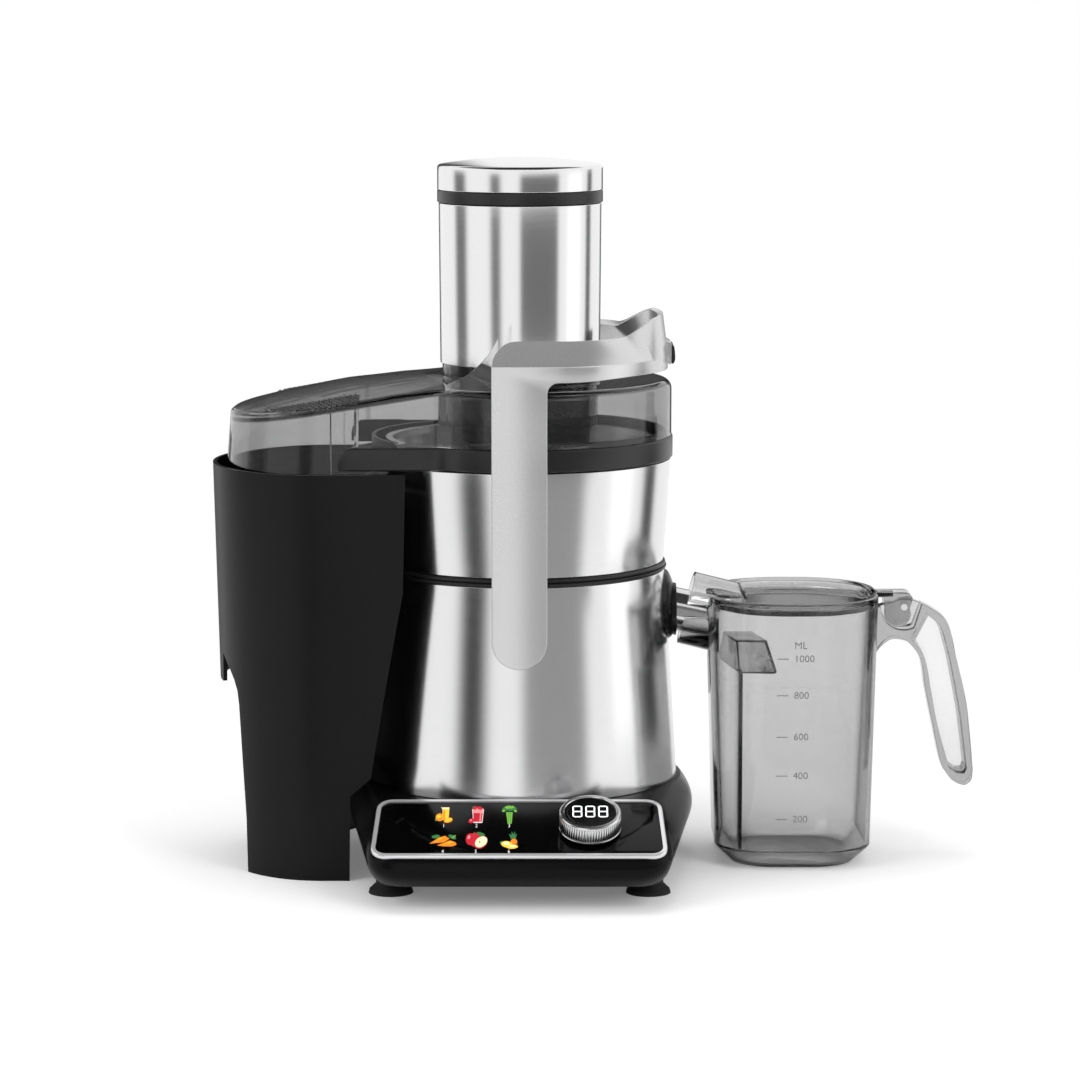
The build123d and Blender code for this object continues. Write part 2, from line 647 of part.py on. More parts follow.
with BuildPart() as lid:
    add(lid_outer)
    add(lid_inner, mode=Mode.SUBTRACT)
    # Feed collar, open from top to bottom
    post(COLLAR_R, 257.5, LID_TOP_Z + 8)
    turned([(0, LID_TOP_Z), (COLLAR_R, LID_TOP_Z), (COLLAR_R, TUBE_Z1 - 0.5), (0, TUBE_Z1 - 0.5)])
    post(COLLAR_BORE_R, 240, 400, mode=Mode.SUBTRACT)
    # Curved fins beside the arm that guide it onto the lid
    for side in (-1, 1):
        with BuildSketch(Plane.XZ.offset(-side * 76 + 1.3)):
            with BuildLine():
                Polyline((-12, 314), (-12, LID_TOP_Z - 1), (-42, LID_TOP_Z - 1), (-42, 287.5))
                ThreePointArc((-42, 287.5), (-23.5, 298.5), (-12, 314))
            make_face()
        extrude(amount=-2.6)
finished(lid, "lid")

with BuildPart() as lid_seal:
    turned([(83.9, LID_SEAT_Z - 0.1), (85.9, LID_SEAT_Z - 0.1), (85.9, LID_SEAT_Z + 3.2), (83.9, LID_SEAT_Z + 3.2)])
    with BuildSketch(Plane.XY.offset(240)):
        with Locations((-60, 0)):
            Rectangle(60, 160)
    extrude(amount=30, mode=Mode.SUBTRACT)
finished(lid_seal, "lid_seal")

with BuildPart() as feed_chute:
    post(CHUTE_R, CHUTE_BOTTOM_Z, TUBE_Z1 - 0.5, bore=CHUTE_BORE_R)
finished(feed_chute, "feed_chute")

with BuildPart() as feed_tube_sleeve:
    turned([(COLLAR_R + 0.3, TUBE_Z0), (TUBE_FOOT_R, TUBE_Z0), (TUBE_HEAD_R, TUBE_Z1 - 0.5),
            (TUBE_HEAD_R - 0.4, TUBE_Z1), (COLLAR_R + 0.3, TUBE_Z1)])
finished(feed_tube_sleeve, "feed_tube_sleeve")

# Food pusher

PUSHER_R = 37.4
with BuildPart() as pusher_body:
    # Hollow plunger with two guide ribs' length grooves, flanged at the top
    turned([(0, 218), (PUSHER_R - 1.5, 218), (PUSHER_R, 219.5), (PUSHER_R, 387), (45.4, 387), (45.4, 393.8),
            (PUSHER_R - 2.5, 393.8), (PUSHER_R - 2.5, 221), (0, 221)])
finished(pusher_body, "pusher_body")

with BuildPart() as pusher_band:
    turned([(45.6, 386.9), (48.2, 386.9), (48.2, 393.8), (45.6, 393.8)])
finished(pusher_band, "pusher_band")

def dome_drop(r, edge_r, drop):
    """Fall of a shallow dome at a radius, given its fall at the edge."""
    sphere_r = (edge_r ** 2 + drop ** 2) / (2 * drop)
    return sphere_r - math.sqrt(sphere_r ** 2 - r ** 2)


with BuildPart() as pusher_cap:
    # Thin steel cap with a rounded edge and a slightly domed top
    top, under = PUSHER_TOP_Z, PUSHER_TOP_Z - 1.8
    with BuildSketch(Plane.XZ):
        with BuildLine():
            Line((0, under), (0, top))
            ThreePointArc((0, top), (22, top - dome_drop(22, 43.5, 3.7)), (43.5, top - 3.7))
            ThreePointArc((43.5, top - 3.7), (46.9, 406.9), (48.1, 403.5))
            Polyline((48.1, 403.5), (48.1, 394.0), (46.3, 394.0), (46.3, 403.2))
            ThreePointArc((46.3, 403.2), (45.3, 405.6), (43, under - 3.8))
            ThreePointArc((43, under - 3.8), (22, under - dome_drop(22, 43, 3.8)), (0, under))
        make_face()
    revolve(axis=Axis.Z)
finished(pusher_cap, "pusher_cap")

# Locking arm

def arm_section(t):
    """Section across the half-ring at an angle t from the front: (outward offset, height) corners."""
    rise = max(0.0, min(1.0, (math.sin(t) - math.sin(math.radians(38))) / 0.32))
    rise = rise * rise * (3 - 2 * rise)
    top = (-13.0 + 7.0 * rise, ARM_TOP_Z + 10.0 * rise)
    under = ARM_UNDER_Z + 1.6 * math.sin(2 * t) ** 2
    inner_top = (top[0] - 3.4, top[1] - 3.0 + 1.6 * rise)
    return [(0, under), (0, ARM_CREASE_Z), top, inner_top, (-ARM_THICK, ARM_CREASE_Z - 1.8), (-ARM_THICK, under)]


with BuildPart() as locking_arm:
    # Front strap, straight part of the ring and shoulder, from one section and one outline
    strap_inner = -ARM_FRONT + ARM_THICK
    with BuildSketch(Plane.YZ.offset(-ARM_HALF)):
        with BuildLine():
            Polyline(*[(-ARM_FRONT - o, z) for o, z in arm_section(0)[1:5]],
                     (strap_inner, 120), (-ARM_FRONT, 120), close=True)
        make_face()
    extrude(amount=ARM_HALF + ARM_BEND_X)
    with BuildSketch(Plane.XZ.offset(60)) as strap_outline:
        with BuildLine():
            Polyline((ARM_HALF, PIVOT_Z), (ARM_HALF, ARM_UNDER_Z), (ARM_BEND_X, ARM_UNDER_Z),
                     (ARM_BEND_X, ARM_TOP_Z + 1), (-ARM_HALF, ARM_TOP_Z + 1), (-ARM_HALF, PIVOT_Z))
            ThreePointArc((-ARM_HALF, PIVOT_Z), (0, PIVOT_Z - ARM_HALF), (ARM_HALF, PIVOT_Z))
        make_face()
        corners = strap_outline.vertices()
        fillet(corners.filter_by(lambda v: v.X < -15 and v.Z > 300), 14)
        corners = strap_outline.vertices()
        fillet(corners.filter_by(lambda v: abs(v.X - ARM_HALF) < 0.1 and abs(v.Z - ARM_UNDER_Z) < 0.1), 6.2)
    extrude(amount=60, mode=Mode.INTERSECT)
    crosswise(4.06, 0, PIVOT_Z, strap_inner + 1, strap_inner - 3.3, mode=Mode.SUBTRACT)
    mirror(about=Plane.XZ)
    # Half-ring over the lid, its top edge rising to a thumb lift at the far right
    steps = 16
    for step in range(steps + 1):
        t = math.pi * step / steps
        half_x = ARM_REACH - ARM_BEND_X
        centre = Vector(ARM_BEND_X + half_x * math.sin(t), -ARM_FRONT * math.cos(t), 0)
        outward = Vector(math.sin(t) / half_x, -math.cos(t) / ARM_FRONT, 0).normalized()
        with BuildSketch(Plane(origin=centre, x_dir=outward, z_dir=outward.cross(Vector(0, 0, 1)))):
            with BuildLine():
                Polyline(*arm_section(t), close=True)
            make_face()
    loft()
finished(locking_arm, "locking_arm")

with BuildPart() as arm_grip:
    # Wedge-shaped pad under the thumb lift
    with BuildSketch(Plane.XZ.offset(-15)):
        with BuildLine():
            Polyline((80, 296), (87.6, 296), (90.2, 300), (89.6, 303), (83.5, 309), (80, 309), close=True)
        make_face()
    extrude(amount=30)
    add(locking_arm.part, mode=Mode.SUBTRACT)
    keep = arm_grip.solids().sort_by(Axis.X)[-1]
with BuildPart() as arm_grip_pad:
    add(keep)
finished(arm_grip_pad, "arm_grip")

# Pulp bin

def bin_plan(z, inset, right_x=-40.0):
    """Plan of the bin at a height: half an ellipse on the left, straight sides towards the body."""
    a = line_at(z, (0, BIN_FOOT[0]), (BIN_RIM_Z, BIN_TOP[0])) - inset
    b = line_at(z, (0, BIN_FOOT[1]), (BIN_RIM_Z, BIN_TOP[1])) - inset
    with BuildSketch(Plane.XY.offset(z)) as plan:
        with BuildLine():
            EllipticalCenterArc((BIN_CENTRE_X, 0), a, b, start_angle=90, arc_size=180)
            Polyline((BIN_CENTRE_X, -b), (right_x, -b), (right_x, b), (BIN_CENTRE_X, b))
        make_face()
    return plan.sketch


def body_hollow(grow):
    """Space taken out of the bin so that it wraps round the body."""
    turned([(0, -5), (122 + grow, -5), (122 + grow, 50 + grow), (113 + grow, 60 + grow), (101 + grow, 168),
            (101 + grow, 300), (0, 300)], mode=Mode.SUBTRACT)


# Finger grip at the left end: the outer wall ends in a lip, with a rounded hollow behind it
LIP_Z, LIP_THICK, GRIP_X = 103.0, 2.6, -164.0
with BuildPart() as grip_hollow:
    loft([bin_plan(40, LIP_THICK), bin_plan(140, LIP_THICK)], ruled=True)
    with BuildSketch(Plane.XZ.offset(-120)):
        with BuildLine():
            Polyline((GRIP_X, 90), (GRIP_X, 50), (-240, 50), (-240, LIP_Z + 12), (-175, LIP_Z + 12))
            ThreePointArc((-175, LIP_Z + 12), (-168.0, LIP_Z + 8), (GRIP_X, 90))
        make_face()
    extrude(amount=240, mode=Mode.INTERSECT)

with BuildPart() as bin_cavity:
    loft([bin_plan(BIN_WALL, BIN_WALL), bin_plan(BIN_RIM_Z + 8, BIN_WALL)], ruled=True)
    body_hollow(BIN_WALL)
    with BuildSketch(Plane.XZ.offset(-120)):
        with BuildLine():
            Polyline((GRIP_X + BIN_WALL, -10), (-240, -10), (-240, LIP_Z + 18), (-172, LIP_Z + 18),
                     (GRIP_X + BIN_WALL, 96), close=True)
        make_face()
    extrude(amount=240, mode=Mode.SUBTRACT)

with BuildPart() as pulp_bin:
    loft([bin_plan(0, 0), bin_plan(BIN_RIM_Z, 0)], ruled=True)
    body_hollow(0)
    with BuildSketch(Plane.XY.offset(-1)):
        with Locations((GRIP_X - 50, 0)):
            Rectangle(100, 240)
    extrude(amount=LIP_Z + 1, mode=Mode.SUBTRACT)
    add(grip_hollow.part, mode=Mode.SUBTRACT)
    add(bin_cavity.part, mode=Mode.SUBTRACT)
    # The wall towards the body stops below the lid's skirt, so the bin slides straight out
    with BuildSketch(Plane.XY.offset(222)):
        with Locations((-80, 0)):
            Rectangle(90, 2 * (BIN_TOP[1] - BIN_WALL) - 0.4)
    extrude(amount=30, mode=Mode.SUBTRACT)
finished(pulp_bin, "pulp_bin")

# Juice jug

# Plans of the jug from the foot up: (height, half width, half depth, corner radius)
JUG_FOOT, JUG_HIP, JUG_RIM = (0.0, 35.0, 39.0, 22.0), (11.0, 45.6, 49.5, 27.0), (JUG_RIM_Z, 50.1, 56.0, 45.0)


def jug_plan(level, inset, lift=0.0):
    z, half_x, half_y, corner = level
    with BuildSketch(Plane.XY.offset(z + lift)) as plan:
        with Locations((JUG_X, 0)):
            RectangleRounded(2 * (half_x - inset), 2 * (half_y - inset), corner - inset)
    return plan.sketch


with BuildPart() as jug_cavity:
    loft([jug_plan(JUG_FOOT, 1.6, JUG_WALL), jug_plan(JUG_HIP, JUG_WALL, 1.0)], ruled=True)
    loft([jug_plan(JUG_HIP, JUG_WALL, 1.0), jug_plan(JUG_RIM, JUG_WALL, 3.0)], ruled=True)

with BuildPart() as jug_body:
    loft([jug_plan(JUG_FOOT, 0), jug_plan(JUG_HIP, 0)], ruled=True)
    loft([jug_plan(JUG_HIP, 0), jug_plan(JUG_RIM, 0)], ruled=True)
    # Half-pipe trough under the spout
    with BuildSketch(Plane.YZ.offset(TROUGH_X)):
        with Locations((0, TROUGH_Z)):
            Circle(TROUGH_R + JUG_WALL)
        with Locations((0, TROUGH_Z + 50)):
            Rectangle(100, 100, mode=Mode.SUBTRACT)
    extrude(amount=30)
    add(jug_cavity.part, mode=Mode.SUBTRACT)
    with BuildSketch(Plane.YZ.offset(TROUGH_X - 1)):
        with Locations((0, TROUGH_Z)):
            Circle(TROUGH_R)
        with Locations((0, TROUGH_Z + 20)):
            Rectangle(2 * TROUGH_R, 40)
    extrude(amount=36, mode=Mode.SUBTRACT)
finished(jug_body, "jug_body")

with BuildPart() as jug_baffle:
    # Froth baffle: a wall across the jug, open at the foot, with a sloping shelf that catches the foam
    with BuildSketch(Plane.XZ.offset(-40)):
        with BuildLine():
            Polyline((128.4, 12), (130.0, 12), (130.0, 124.6), (150.2, 106.0), (151.3, 107.2), (129.4, 128), (128.4, 128),
                     close=True)
        make_face()
    extrude(amount=80)
finished(jug_baffle, "jug_baffle")

handle_inner = [(208, 112), (211.6, 117.5), (219, 126.6), (230.3, 122.6), (242.4, 98.5), (250.0, 70), (255.1, 47.3)]
handle_outer = [(268.2, 45.4), (265.4, 68.4), (258.8, 110.6), (248.9, 140.5), (236.4, 150.5), (226, 153.5)]

with BuildPart() as jug_handle:
    # Open-ended handle: an I-section that leaves the jug below the rim and hangs clear of the counter
    with BuildSketch(Plane.XZ.offset(-9)) as handle_side:
        with BuildLine():
            Spline(*handle_inner)
            ThreePointArc(handle_inner[-1], (261, 40.6), handle_outer[0])
            Spline(*handle_outer)
            Polyline(handle_outer[-1], (200, 148), (200, 112), handle_inner[0])
        make_face()
    extrude(amount=18)
    for side in (-1, 1):
        with BuildSketch(Plane.XZ.offset(side * 2.2)):
            with BuildLine():
                Spline((240, 115), (246.5, 98.5), (254, 70), (257.5, 54))
                Line((257.5, 54), (263, 54))
                Spline((263, 54), (261, 70), (254.5, 108), (246.5, 132))
                Line((246.5, 132), (240, 115))
            make_face()
        extrude(amount=side * 20, mode=Mode.SUBTRACT)
    # Room for the lid's hinge cheeks on both sides of the middle ear
    for side in (-1, 1):
        crosswise(11.2, JUG_HINGE[0], JUG_HINGE[1], side * 4.2, side * 20, mode=Mode.SUBTRACT)
        with BuildSketch(Plane.XZ.offset(-side * 4.2)):
            with Locations((JUG_HINGE[0] - 12, JUG_HINGE[1] + 6)):
                Rectangle(24, 14)
        extrude(amount=-side * 16, mode=Mode.SUBTRACT)
    crosswise(2.0, JUG_HINGE[0], JUG_HINGE[1], -20, 20, mode=Mode.SUBTRACT)
    # The jug's own wall stays free
    loft([jug_plan(JUG_HIP, -0.05), jug_plan(JUG_RIM, -0.05)], ruled=True, mode=Mode.SUBTRACT)
finished(jug_handle, "jug_handle")

with BuildPart() as jug_hinge_pin:
    crosswise(1.95, JUG_HINGE[0], JUG_HINGE[1], -8.6, 8.6)
finished(jug_hinge_pin, "jug_hinge_pin")

with BuildPart() as jug_lid:
    # Rim plate with a sunk middle and a locating skirt
    extrude(jug_plan(JUG_RIM, 0, 0.3), amount=2.7)
    extrude(jug_plan(JUG_RIM, JUG_WALL + 0.9, -4), amount=5)
    extrude(jug_plan(JUG_RIM, JUG_WALL + 3.2, -2), amount=10, mode=Mode.SUBTRACT)
    # Way for the spout, under a hood that rises towards it
    with BuildSketch(Plane.YZ.offset(90)):
        with Locations((0, TROUGH_Z)):
            Circle(TROUGH_R + 0.4)
        with Locations((0, TROUGH_Z + 15)):
            Rectangle(2 * TROUGH_R + 0.8, 30)
    extrude(amount=34, mode=Mode.SUBTRACT)
    with BuildSketch(Plane.XZ.offset(-TROUGH_R - 2.6)):
        with BuildLine():
            Polyline((102.4, 169.2), (124.5, 159.2), (126.5, 153.2), (124.0, 153.2), (122.6, 157.6), (102.4, 167.0),
                     close=True)
        make_face()
    extrude(amount=2 * (TROUGH_R + 2.6))
    for side in (-1, 1):
        with BuildSketch(Plane.XZ.offset(-side * (TROUGH_R + 0.6))):
            with BuildLine():
                Polyline((102.4, 168.5), (104.5, 160), (112, 155.4), (124, 155.4), (124, 159.0), close=True)
            make_face()
        extrude(amount=-side * 2.0)
    # Hinge cheeks beside the handle's ear
    for side in (-1, 1):
        with BuildSketch(Plane.XZ.offset(-side * 4.7)):
            with BuildLine():
                Polyline((206, 158.0), (228, 158.0), (231, 155), (230, 148), (226, 145), (221, 147.5), (216.5, 155.3),
                         (206, 155.3), close=True)
            make_face()
        extrude(amount=-side * 3.6)
    crosswise(2.0, JUG_HINGE[0], JUG_HINGE[1], -20, 20, mode=Mode.SUBTRACT)
finished(jug_lid, "jug_lid")
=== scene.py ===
"""Looks of a centrifugal juicer: steel body and feed tube, clear smoky lid, black bin and base, silver
locking arm and a smoky juice jug.

Pieces are drawn in millimetres about the motor axis, with the counter at Z = 0, and are put into the
frame's metres by PLACE when they are finished.
"""

import json
import math

import bmesh
import bpy
from mathutils import Matrix, Vector
from mathutils.geometry import interpolate_bezier

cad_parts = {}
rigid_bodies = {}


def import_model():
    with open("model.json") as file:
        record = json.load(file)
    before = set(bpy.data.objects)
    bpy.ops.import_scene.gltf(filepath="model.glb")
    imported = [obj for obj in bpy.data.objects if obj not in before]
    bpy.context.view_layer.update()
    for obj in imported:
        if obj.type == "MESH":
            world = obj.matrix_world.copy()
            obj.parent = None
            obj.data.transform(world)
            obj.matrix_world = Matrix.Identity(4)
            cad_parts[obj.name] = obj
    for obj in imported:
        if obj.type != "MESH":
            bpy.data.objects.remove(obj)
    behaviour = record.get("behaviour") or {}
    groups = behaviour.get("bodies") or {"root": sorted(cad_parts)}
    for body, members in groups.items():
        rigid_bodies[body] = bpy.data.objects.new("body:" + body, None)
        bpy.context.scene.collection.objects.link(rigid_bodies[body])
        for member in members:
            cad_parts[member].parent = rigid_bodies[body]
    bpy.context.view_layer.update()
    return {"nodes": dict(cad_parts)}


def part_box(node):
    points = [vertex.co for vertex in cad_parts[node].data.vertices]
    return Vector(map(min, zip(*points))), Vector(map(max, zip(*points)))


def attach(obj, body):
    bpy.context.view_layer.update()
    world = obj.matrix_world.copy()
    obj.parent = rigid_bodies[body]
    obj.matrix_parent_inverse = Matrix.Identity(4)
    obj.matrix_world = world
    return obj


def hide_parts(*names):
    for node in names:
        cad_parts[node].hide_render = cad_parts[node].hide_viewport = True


for leftover in list(bpy.data.objects):
    bpy.data.objects.remove(leftover)

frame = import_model()

low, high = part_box("bowl_steel_jacket")
AXIS = Vector(((low.x + high.x) / 2, (low.y + high.y) / 2, 0))
PLACE = Matrix.Translation(AXIS) @ Matrix.Scale(0.001, 4)
STAND = Matrix.Rotation(math.pi / 2, 4, "X")

# Main body
SHELL_Z, SHELL_R = (49.7, 172.5), (92.4, 84.7)
JACKET_Z, JACKET_R = (177.7, 237.8), (84.0, 88.0)
BAND_Z, BAND_R, BAND_INNER_R = (238.0, 251.5), 89.3, 87.15
WING_TIP_X, WING_TIP_R, WING_Y, WING_WALL = -103.0, 8.0, 77.6, 2.4
LID_SEAT_Z, LID_TOP_Z, LID_R, LID_WALL, LID_FILLET, COVER_FILLET = 251.7, 284.0, 88.5, 2.4, 5.5, 2.2
SKIRT_Z, SKIRT_CLEAR_R, RAMP_R = 230.5, 104.6, 104.0
COVER_CENTRE_X, COVER_LONG, COVER_HALF, COVER_LEAN = -114.0, 58.0, 74.6, 2.8
# Lid's top along X: (x, height at the two sides, rise in the middle)
COVER_CROWN = [(-178, 261.5, 3.0), (-140, 269.0, 6.0), (-103, 274.5, 8.5), (-70, 280.5, 5.5),
               (-36, 284.5, 3.0), (-8, 284.0, 0.0), (100, 284.0, 0.0)]
# Bend along the lid's upper edge, where a band of painted shade runs: its height at the motor axis in metres,
# and its slope along X
LID_BEND_Z, LID_BEND_SLOPE = 0.2903, 0.162
DOT_LEFT_X, DOT_FIRST_Y, DOT_PITCH, DOT_LINE_PITCH = -159.5, 56.5, 3.0, 2.9
DOT_LINES, DOTS_IN_LINE = 6, 23
COLLAR_Z, COLLAR_R, COLLAR_BORE = (257.5, 386.0), 45.4, 41.0
TUBE_Z, TUBE_R, TUBE_BORE = (293.6, 386.5), (46.6, 47.3), 45.7
CHUTE_Z, CHUTE_R, CHUTE_BORE = (212.0, 386.0), 40.6, 38.0
PUSHER_R, PUSHER_BAND_Z = 48.1, (386.9, 393.8)
STEEL_GAUGE = 0.9

# Base and control panel
# Base's plan: (height, half width at the front, front, corner radius, back radius)
BASE_LEVELS = [(12.0, 78.0, -137.0, 15.0, 91.0), (29.0, 84.0, -149.0, 17.0, 101.5),
               (49.5, 79.0, -96.0, 15.0, 95.0)]
PANEL_TILT = math.radians(21.5)
PANEL_BACK, PANEL_FRONT, PANEL_DEEP, PANEL_CORNER, BEZEL = 161.0, 166.0, 57.0, 9.0, 2.5
PANEL = Matrix.Translation((0, -121.6, 42.0)) @ Matrix.Rotation(PANEL_TILT, 4, "X")
KNOB = PANEL @ Matrix.Translation((39.7, -2.8, 0))
KNOB_R, KNOB_BORE, KNOB_Z = 17.4, 14.55, (1.7, 13.2)

# Locking arm
PIVOT_Z, ARM_HALF, ARM_THICK, ARM_FRONT = 143.3, 15.7, 4.5, 96.5
ARM_REACH, ARM_BEND_X, ARM_THUMB_LIFT, ARM_GRIP_WIDE = 86.2, 22.0, 10.0, 26.4
ARM_CREASE_Z, ARM_TOP_Z, ARM_UNDER_Z, ARM_LEAN = 299.4, 312.9, 290.3, 13.0
ARM_FOLD_Z = ARM_CREASE_Z - 1.8

# Pulp bin
BIN_RIM_Z, BIN_LOW_RIM_Z, BIN_CENTRE_X = 236.0, 222.0, -114.0
BIN_TOP, BIN_FOOT, BIN_WALL = (66.0, 77.5), (60.5, 72.5), 2.3
BIN_SIDE_STEPS, BIN_END_STEPS, BIN_HOLLOW_STEPS = 8, 80, 48
BIN_STEPS = 2 * BIN_SIDE_STEPS + BIN_END_STEPS + BIN_HOLLOW_STEPS
# Finger hollow: (x, z) up its wall, and the tip of the lip over it
FINGER_WALL = [(-158.5, 0.4), (-159.0, 32.0), (-161.2, 70.0), (-162.8, 98.5), (-163.8, 106.5),
               (-165.8, 112.5), (-168.4, 117.5), (-173.4, 125.5)]
LIP_TIP = (-173.6, 108.5)
# Faces left of and below this lie near the finger hollow; the pulp falls in to the right of the gate
HOLLOW_NEAR_X, HOLLOW_NEAR_Z, PULP_GATE_X = -148.0, 134.0, -104.0

# Juice jug
JUG_X, JUG_WALL, JUG_RIM_Z = 160.0, 2.4, 155.0
JUG_TURN_STEPS, JUG_SIDE_STEPS = 20, 6
JUG_STEPS = 4 * (JUG_TURN_STEPS + JUG_SIDE_STEPS)
# Jug's plan: (height, half width, half depth, corner radius)
JUG_LEVELS = [(0.0, 35.0, 39.0, 22.0), (11.0, 45.6, 49.5, 27.0), (155.0, 50.1, 56.0, 45.0)]
JUG_HINGE = (225.7, 149.5)
TROUGH_R, TROUGH_Z, TROUGH_X, TROUGH_FALL, END_SLANT = 14.2, 143.8, 92.6, 0.25, 0.248
TROUGH_LONG, CHANNEL_LONG = 25.0, 36.0
BAFFLE_X, CATCHER_SKEW = 127.7, 0.22
# Froth catcher: (height, left, right, front, back) of its foot and its top
CATCHER_FOOT, CATCHER_TOP = (114.8, 127.7, 150.0, -30.0, 24.0), (131.6, 126.7, 144.6, -18.0, 14.0)
HOOD_Z, HOOD_TIP_X, HOOD_TIP_LEAN = 155.3, 133.5, 0.587
HOOD_HALF, HOOD_TOP = [(94.0, 16.8), (136.0, 12.4)], [(94.0, 171.4), (136.0, 161.0)]
SPOUT_SLOPE, SPOUT_R, SPOUT_ROOT = math.radians(12.0), 12.7, (74.0, 0.0, 150.9)
COLLAR_REACH, COLLAR_FACE_X = (10.4, 24.0), 91.8


def between(value, points):
    """Straight-line reading of a table of (input, output) points."""
    for (x0, y0), (x1, y1) in zip(points, points[1:]):
        if value <= x1 or (x1, y1) == points[-1]:
            return y0 + (y1 - y0) * max(0.0, min(1.0, (value - x0) / (x1 - x0)))


def ease(value):
    """A soft step from 0 to 1."""
    value = max(0.0, min(1.0, value))
    return value * value * (3 - 2 * value)


# Materials


class Value:
    """A number, colour or vector on its way through a finish; arithmetic on it adds the nodes."""

    def __init__(self, finish, socket):
        self.finish = finish
        self.socket = socket

    def reckon(self, operation, first, second):
        return self.finish.node("ShaderNodeMath", {"operation": operation}, {0: first, 1: second})

    def __add__(self, other):
        return self.reckon("ADD", self, other)

    def __radd__(self, other):
        return self.reckon("ADD", other, self)

    def __sub__(self, other):
        return self.reckon("SUBTRACT", self, other)

    def __rsub__(self, other):
        return self.reckon("SUBTRACT", other, self)

    def __mul__(self, other):
        return self.reckon("MULTIPLY", self, other)

    def __rmul__(self, other):
        return self.reckon("MULTIPLY", other, self)


class Finish:
    """One surface finish: a Principled shader whose varying inputs are worked out from the object's place."""

    def __init__(self, name, **constants):
        self.material = bpy.data.materials.new(name)
        self.material.use_nodes = True
        self.tree = self.material.node_tree
        self.shader = self.tree.nodes["Principled BSDF"]
        for socket, value in constants.items():
            self.shader.inputs[socket.replace("_", " ")].default_value = value

    def node(self, kind, settings=None, inputs=None, output=0):
        made = self.tree.nodes.new(kind)
        for name, value in (settings or {}).items():
            setattr(made, name, value)
        for name, value in (inputs or {}).items():
            self.feed(made.inputs[name], value)
        return Value(self, made.outputs[output])

    def feed(self, socket, value):
        if isinstance(value, Value):
            self.tree.links.new(value.socket, socket)
        else:
            socket.default_value = value

    def end(self, socket, value):
        self.feed(self.tree.nodes["Material Output"].inputs[socket], value)

    def set(self, **inputs):
        for name, value in inputs.items():
            self.feed(self.shader.inputs[name.replace("_", " ")], value)

    def place(self, stretch=(1, 1, 1)):
        """Object coordinates, stretched to lay grain along one way."""
        here = self.node("ShaderNodeTexCoord", output=3)
        return self.node("ShaderNodeMapping", {}, {"Vector": here, "Scale": stretch})

    def along(self, axis):
        """Object coordinate along one axis: 0, 1 or 2."""
        return self.node("ShaderNodeSeparateXYZ", {}, {0: self.place()}, output=axis)

    def noise(self, scale, detail, stretch=(1, 1, 1)):
        inputs = {"Vector": self.place(stretch), "Scale": scale, "Detail": detail}
        return self.node("ShaderNodeTexNoise", {}, inputs)

    def soft_step(self, value, start, end):
        """Goes softly from 0 to 1 while the value goes from start to end."""
        limits = {"Value": value, "From Min": start, "From Max": end}
        return self.node("ShaderNodeMapRange", {"interpolation_type": "SMOOTHSTEP"}, limits)

    def blend(self, mask, first, second):
        """Colour that goes from the first to the second with the mask."""
        return self.node("ShaderNodeMix", {"data_type": "RGBA"}, {0: mask, 6: first, 7: second}, output=2)

    def bump(self, height, strength, distance):
        return self.node("ShaderNodeBump", {}, {"Height": height, "Strength": strength, "Distance": distance})


FINISHES = {}


def shade(colour, share):
    """A colour made darker or lighter."""
    return (*[part * share for part in colour], 1.0)


def grey(level):
    return (level, level, level, 1.0)


def moulded(slot, level, rough, specular, grain=1400.0, depth=0.12, tint=(1.0, 1.0, 1.0)):
    """Moulded plastic or rubber: fine grain in the surface, faint cloudiness in the colour and the gloss."""
    finish = Finish(slot, Specular_IOR_Level=specular)
    clouds = finish.noise(22.0, 3.0)
    fine = finish.noise(grain, 2.0)
    finish.set(Base_Color=finish.blend(clouds, shade(tint, level * 0.86), shade(tint, level * 1.12)),
               Roughness=rough - 0.05 + 0.07 * clouds + 0.03 * fine,
               Normal=finish.bump(fine, depth, 0.0002))
    FINISHES[slot] = finish


def metal(slot, colour, rough, grain, stretch=(1, 1, 1), depth=0.05, metallic=1.0):
    """Metal with grain lines along one way, seen in the gloss and very faintly in the colour."""
    finish = Finish(slot, Metallic=metallic)
    lines = finish.noise(grain, 3.0, stretch)
    smears = finish.noise(9.0, 3.0)
    finish.set(Base_Color=finish.blend(lines, shade(colour, 0.93), shade(colour, 1.0)),
               Roughness=rough - 0.03 + 0.06 * lines + 0.03 * smears,
               Normal=finish.bump(lines, depth, 0.0001))
    FINISHES[slot] = finish


def lid_bend_line(finish):
    """Narrow band of painted shade along the bend at the lid's upper edge, standing in for the dark line that
    the bend shows there.
    """
    slope = LID_BEND_Z + LID_BEND_SLOPE * (finish.along(0) - AXIS.x)
    below = slope.reckon("MINIMUM", slope, LID_TOP_Z / 1000) - finish.along(2)
    return finish.soft_step(below, -0.0006, 0.0002) * (1 - finish.soft_step(below, 0.0014, 0.0028))


def smoky(slot, density, edge=0.16, edge_from=0.6, edge_to=1.0, line=None):
    """Tinted clear plastic: dark along its outlines and through its depth, with faint flow marks, and with a
    band of painted shade where one is given.
    """
    finish = Finish(slot, Transmission_Weight=1.0, IOR=1.46)
    flow = finish.noise(16.0, 2.0, (1, 1, 0.4))
    aslant = finish.node("ShaderNodeLayerWeight", {}, {"Blend": 0.5}, output=1)
    outline = finish.soft_step(aslant, edge_from, edge_to)
    # A given band of painted shade darkens the colour as the outline does.
    if line:
        outline = outline.reckon("MAXIMUM", outline, 0.9 * line(finish))
    face = finish.blend(flow, grey(0.93), grey(0.98))
    finish.set(Base_Color=finish.blend(outline, face, grey(edge)), Roughness=0.02 + 0.02 * flow)
    tint = finish.node("ShaderNodeVolumeAbsorption", {}, {"Color": grey(0.06), "Density": density})
    finish.end("Volume", tint)
    FINISHES[slot] = finish


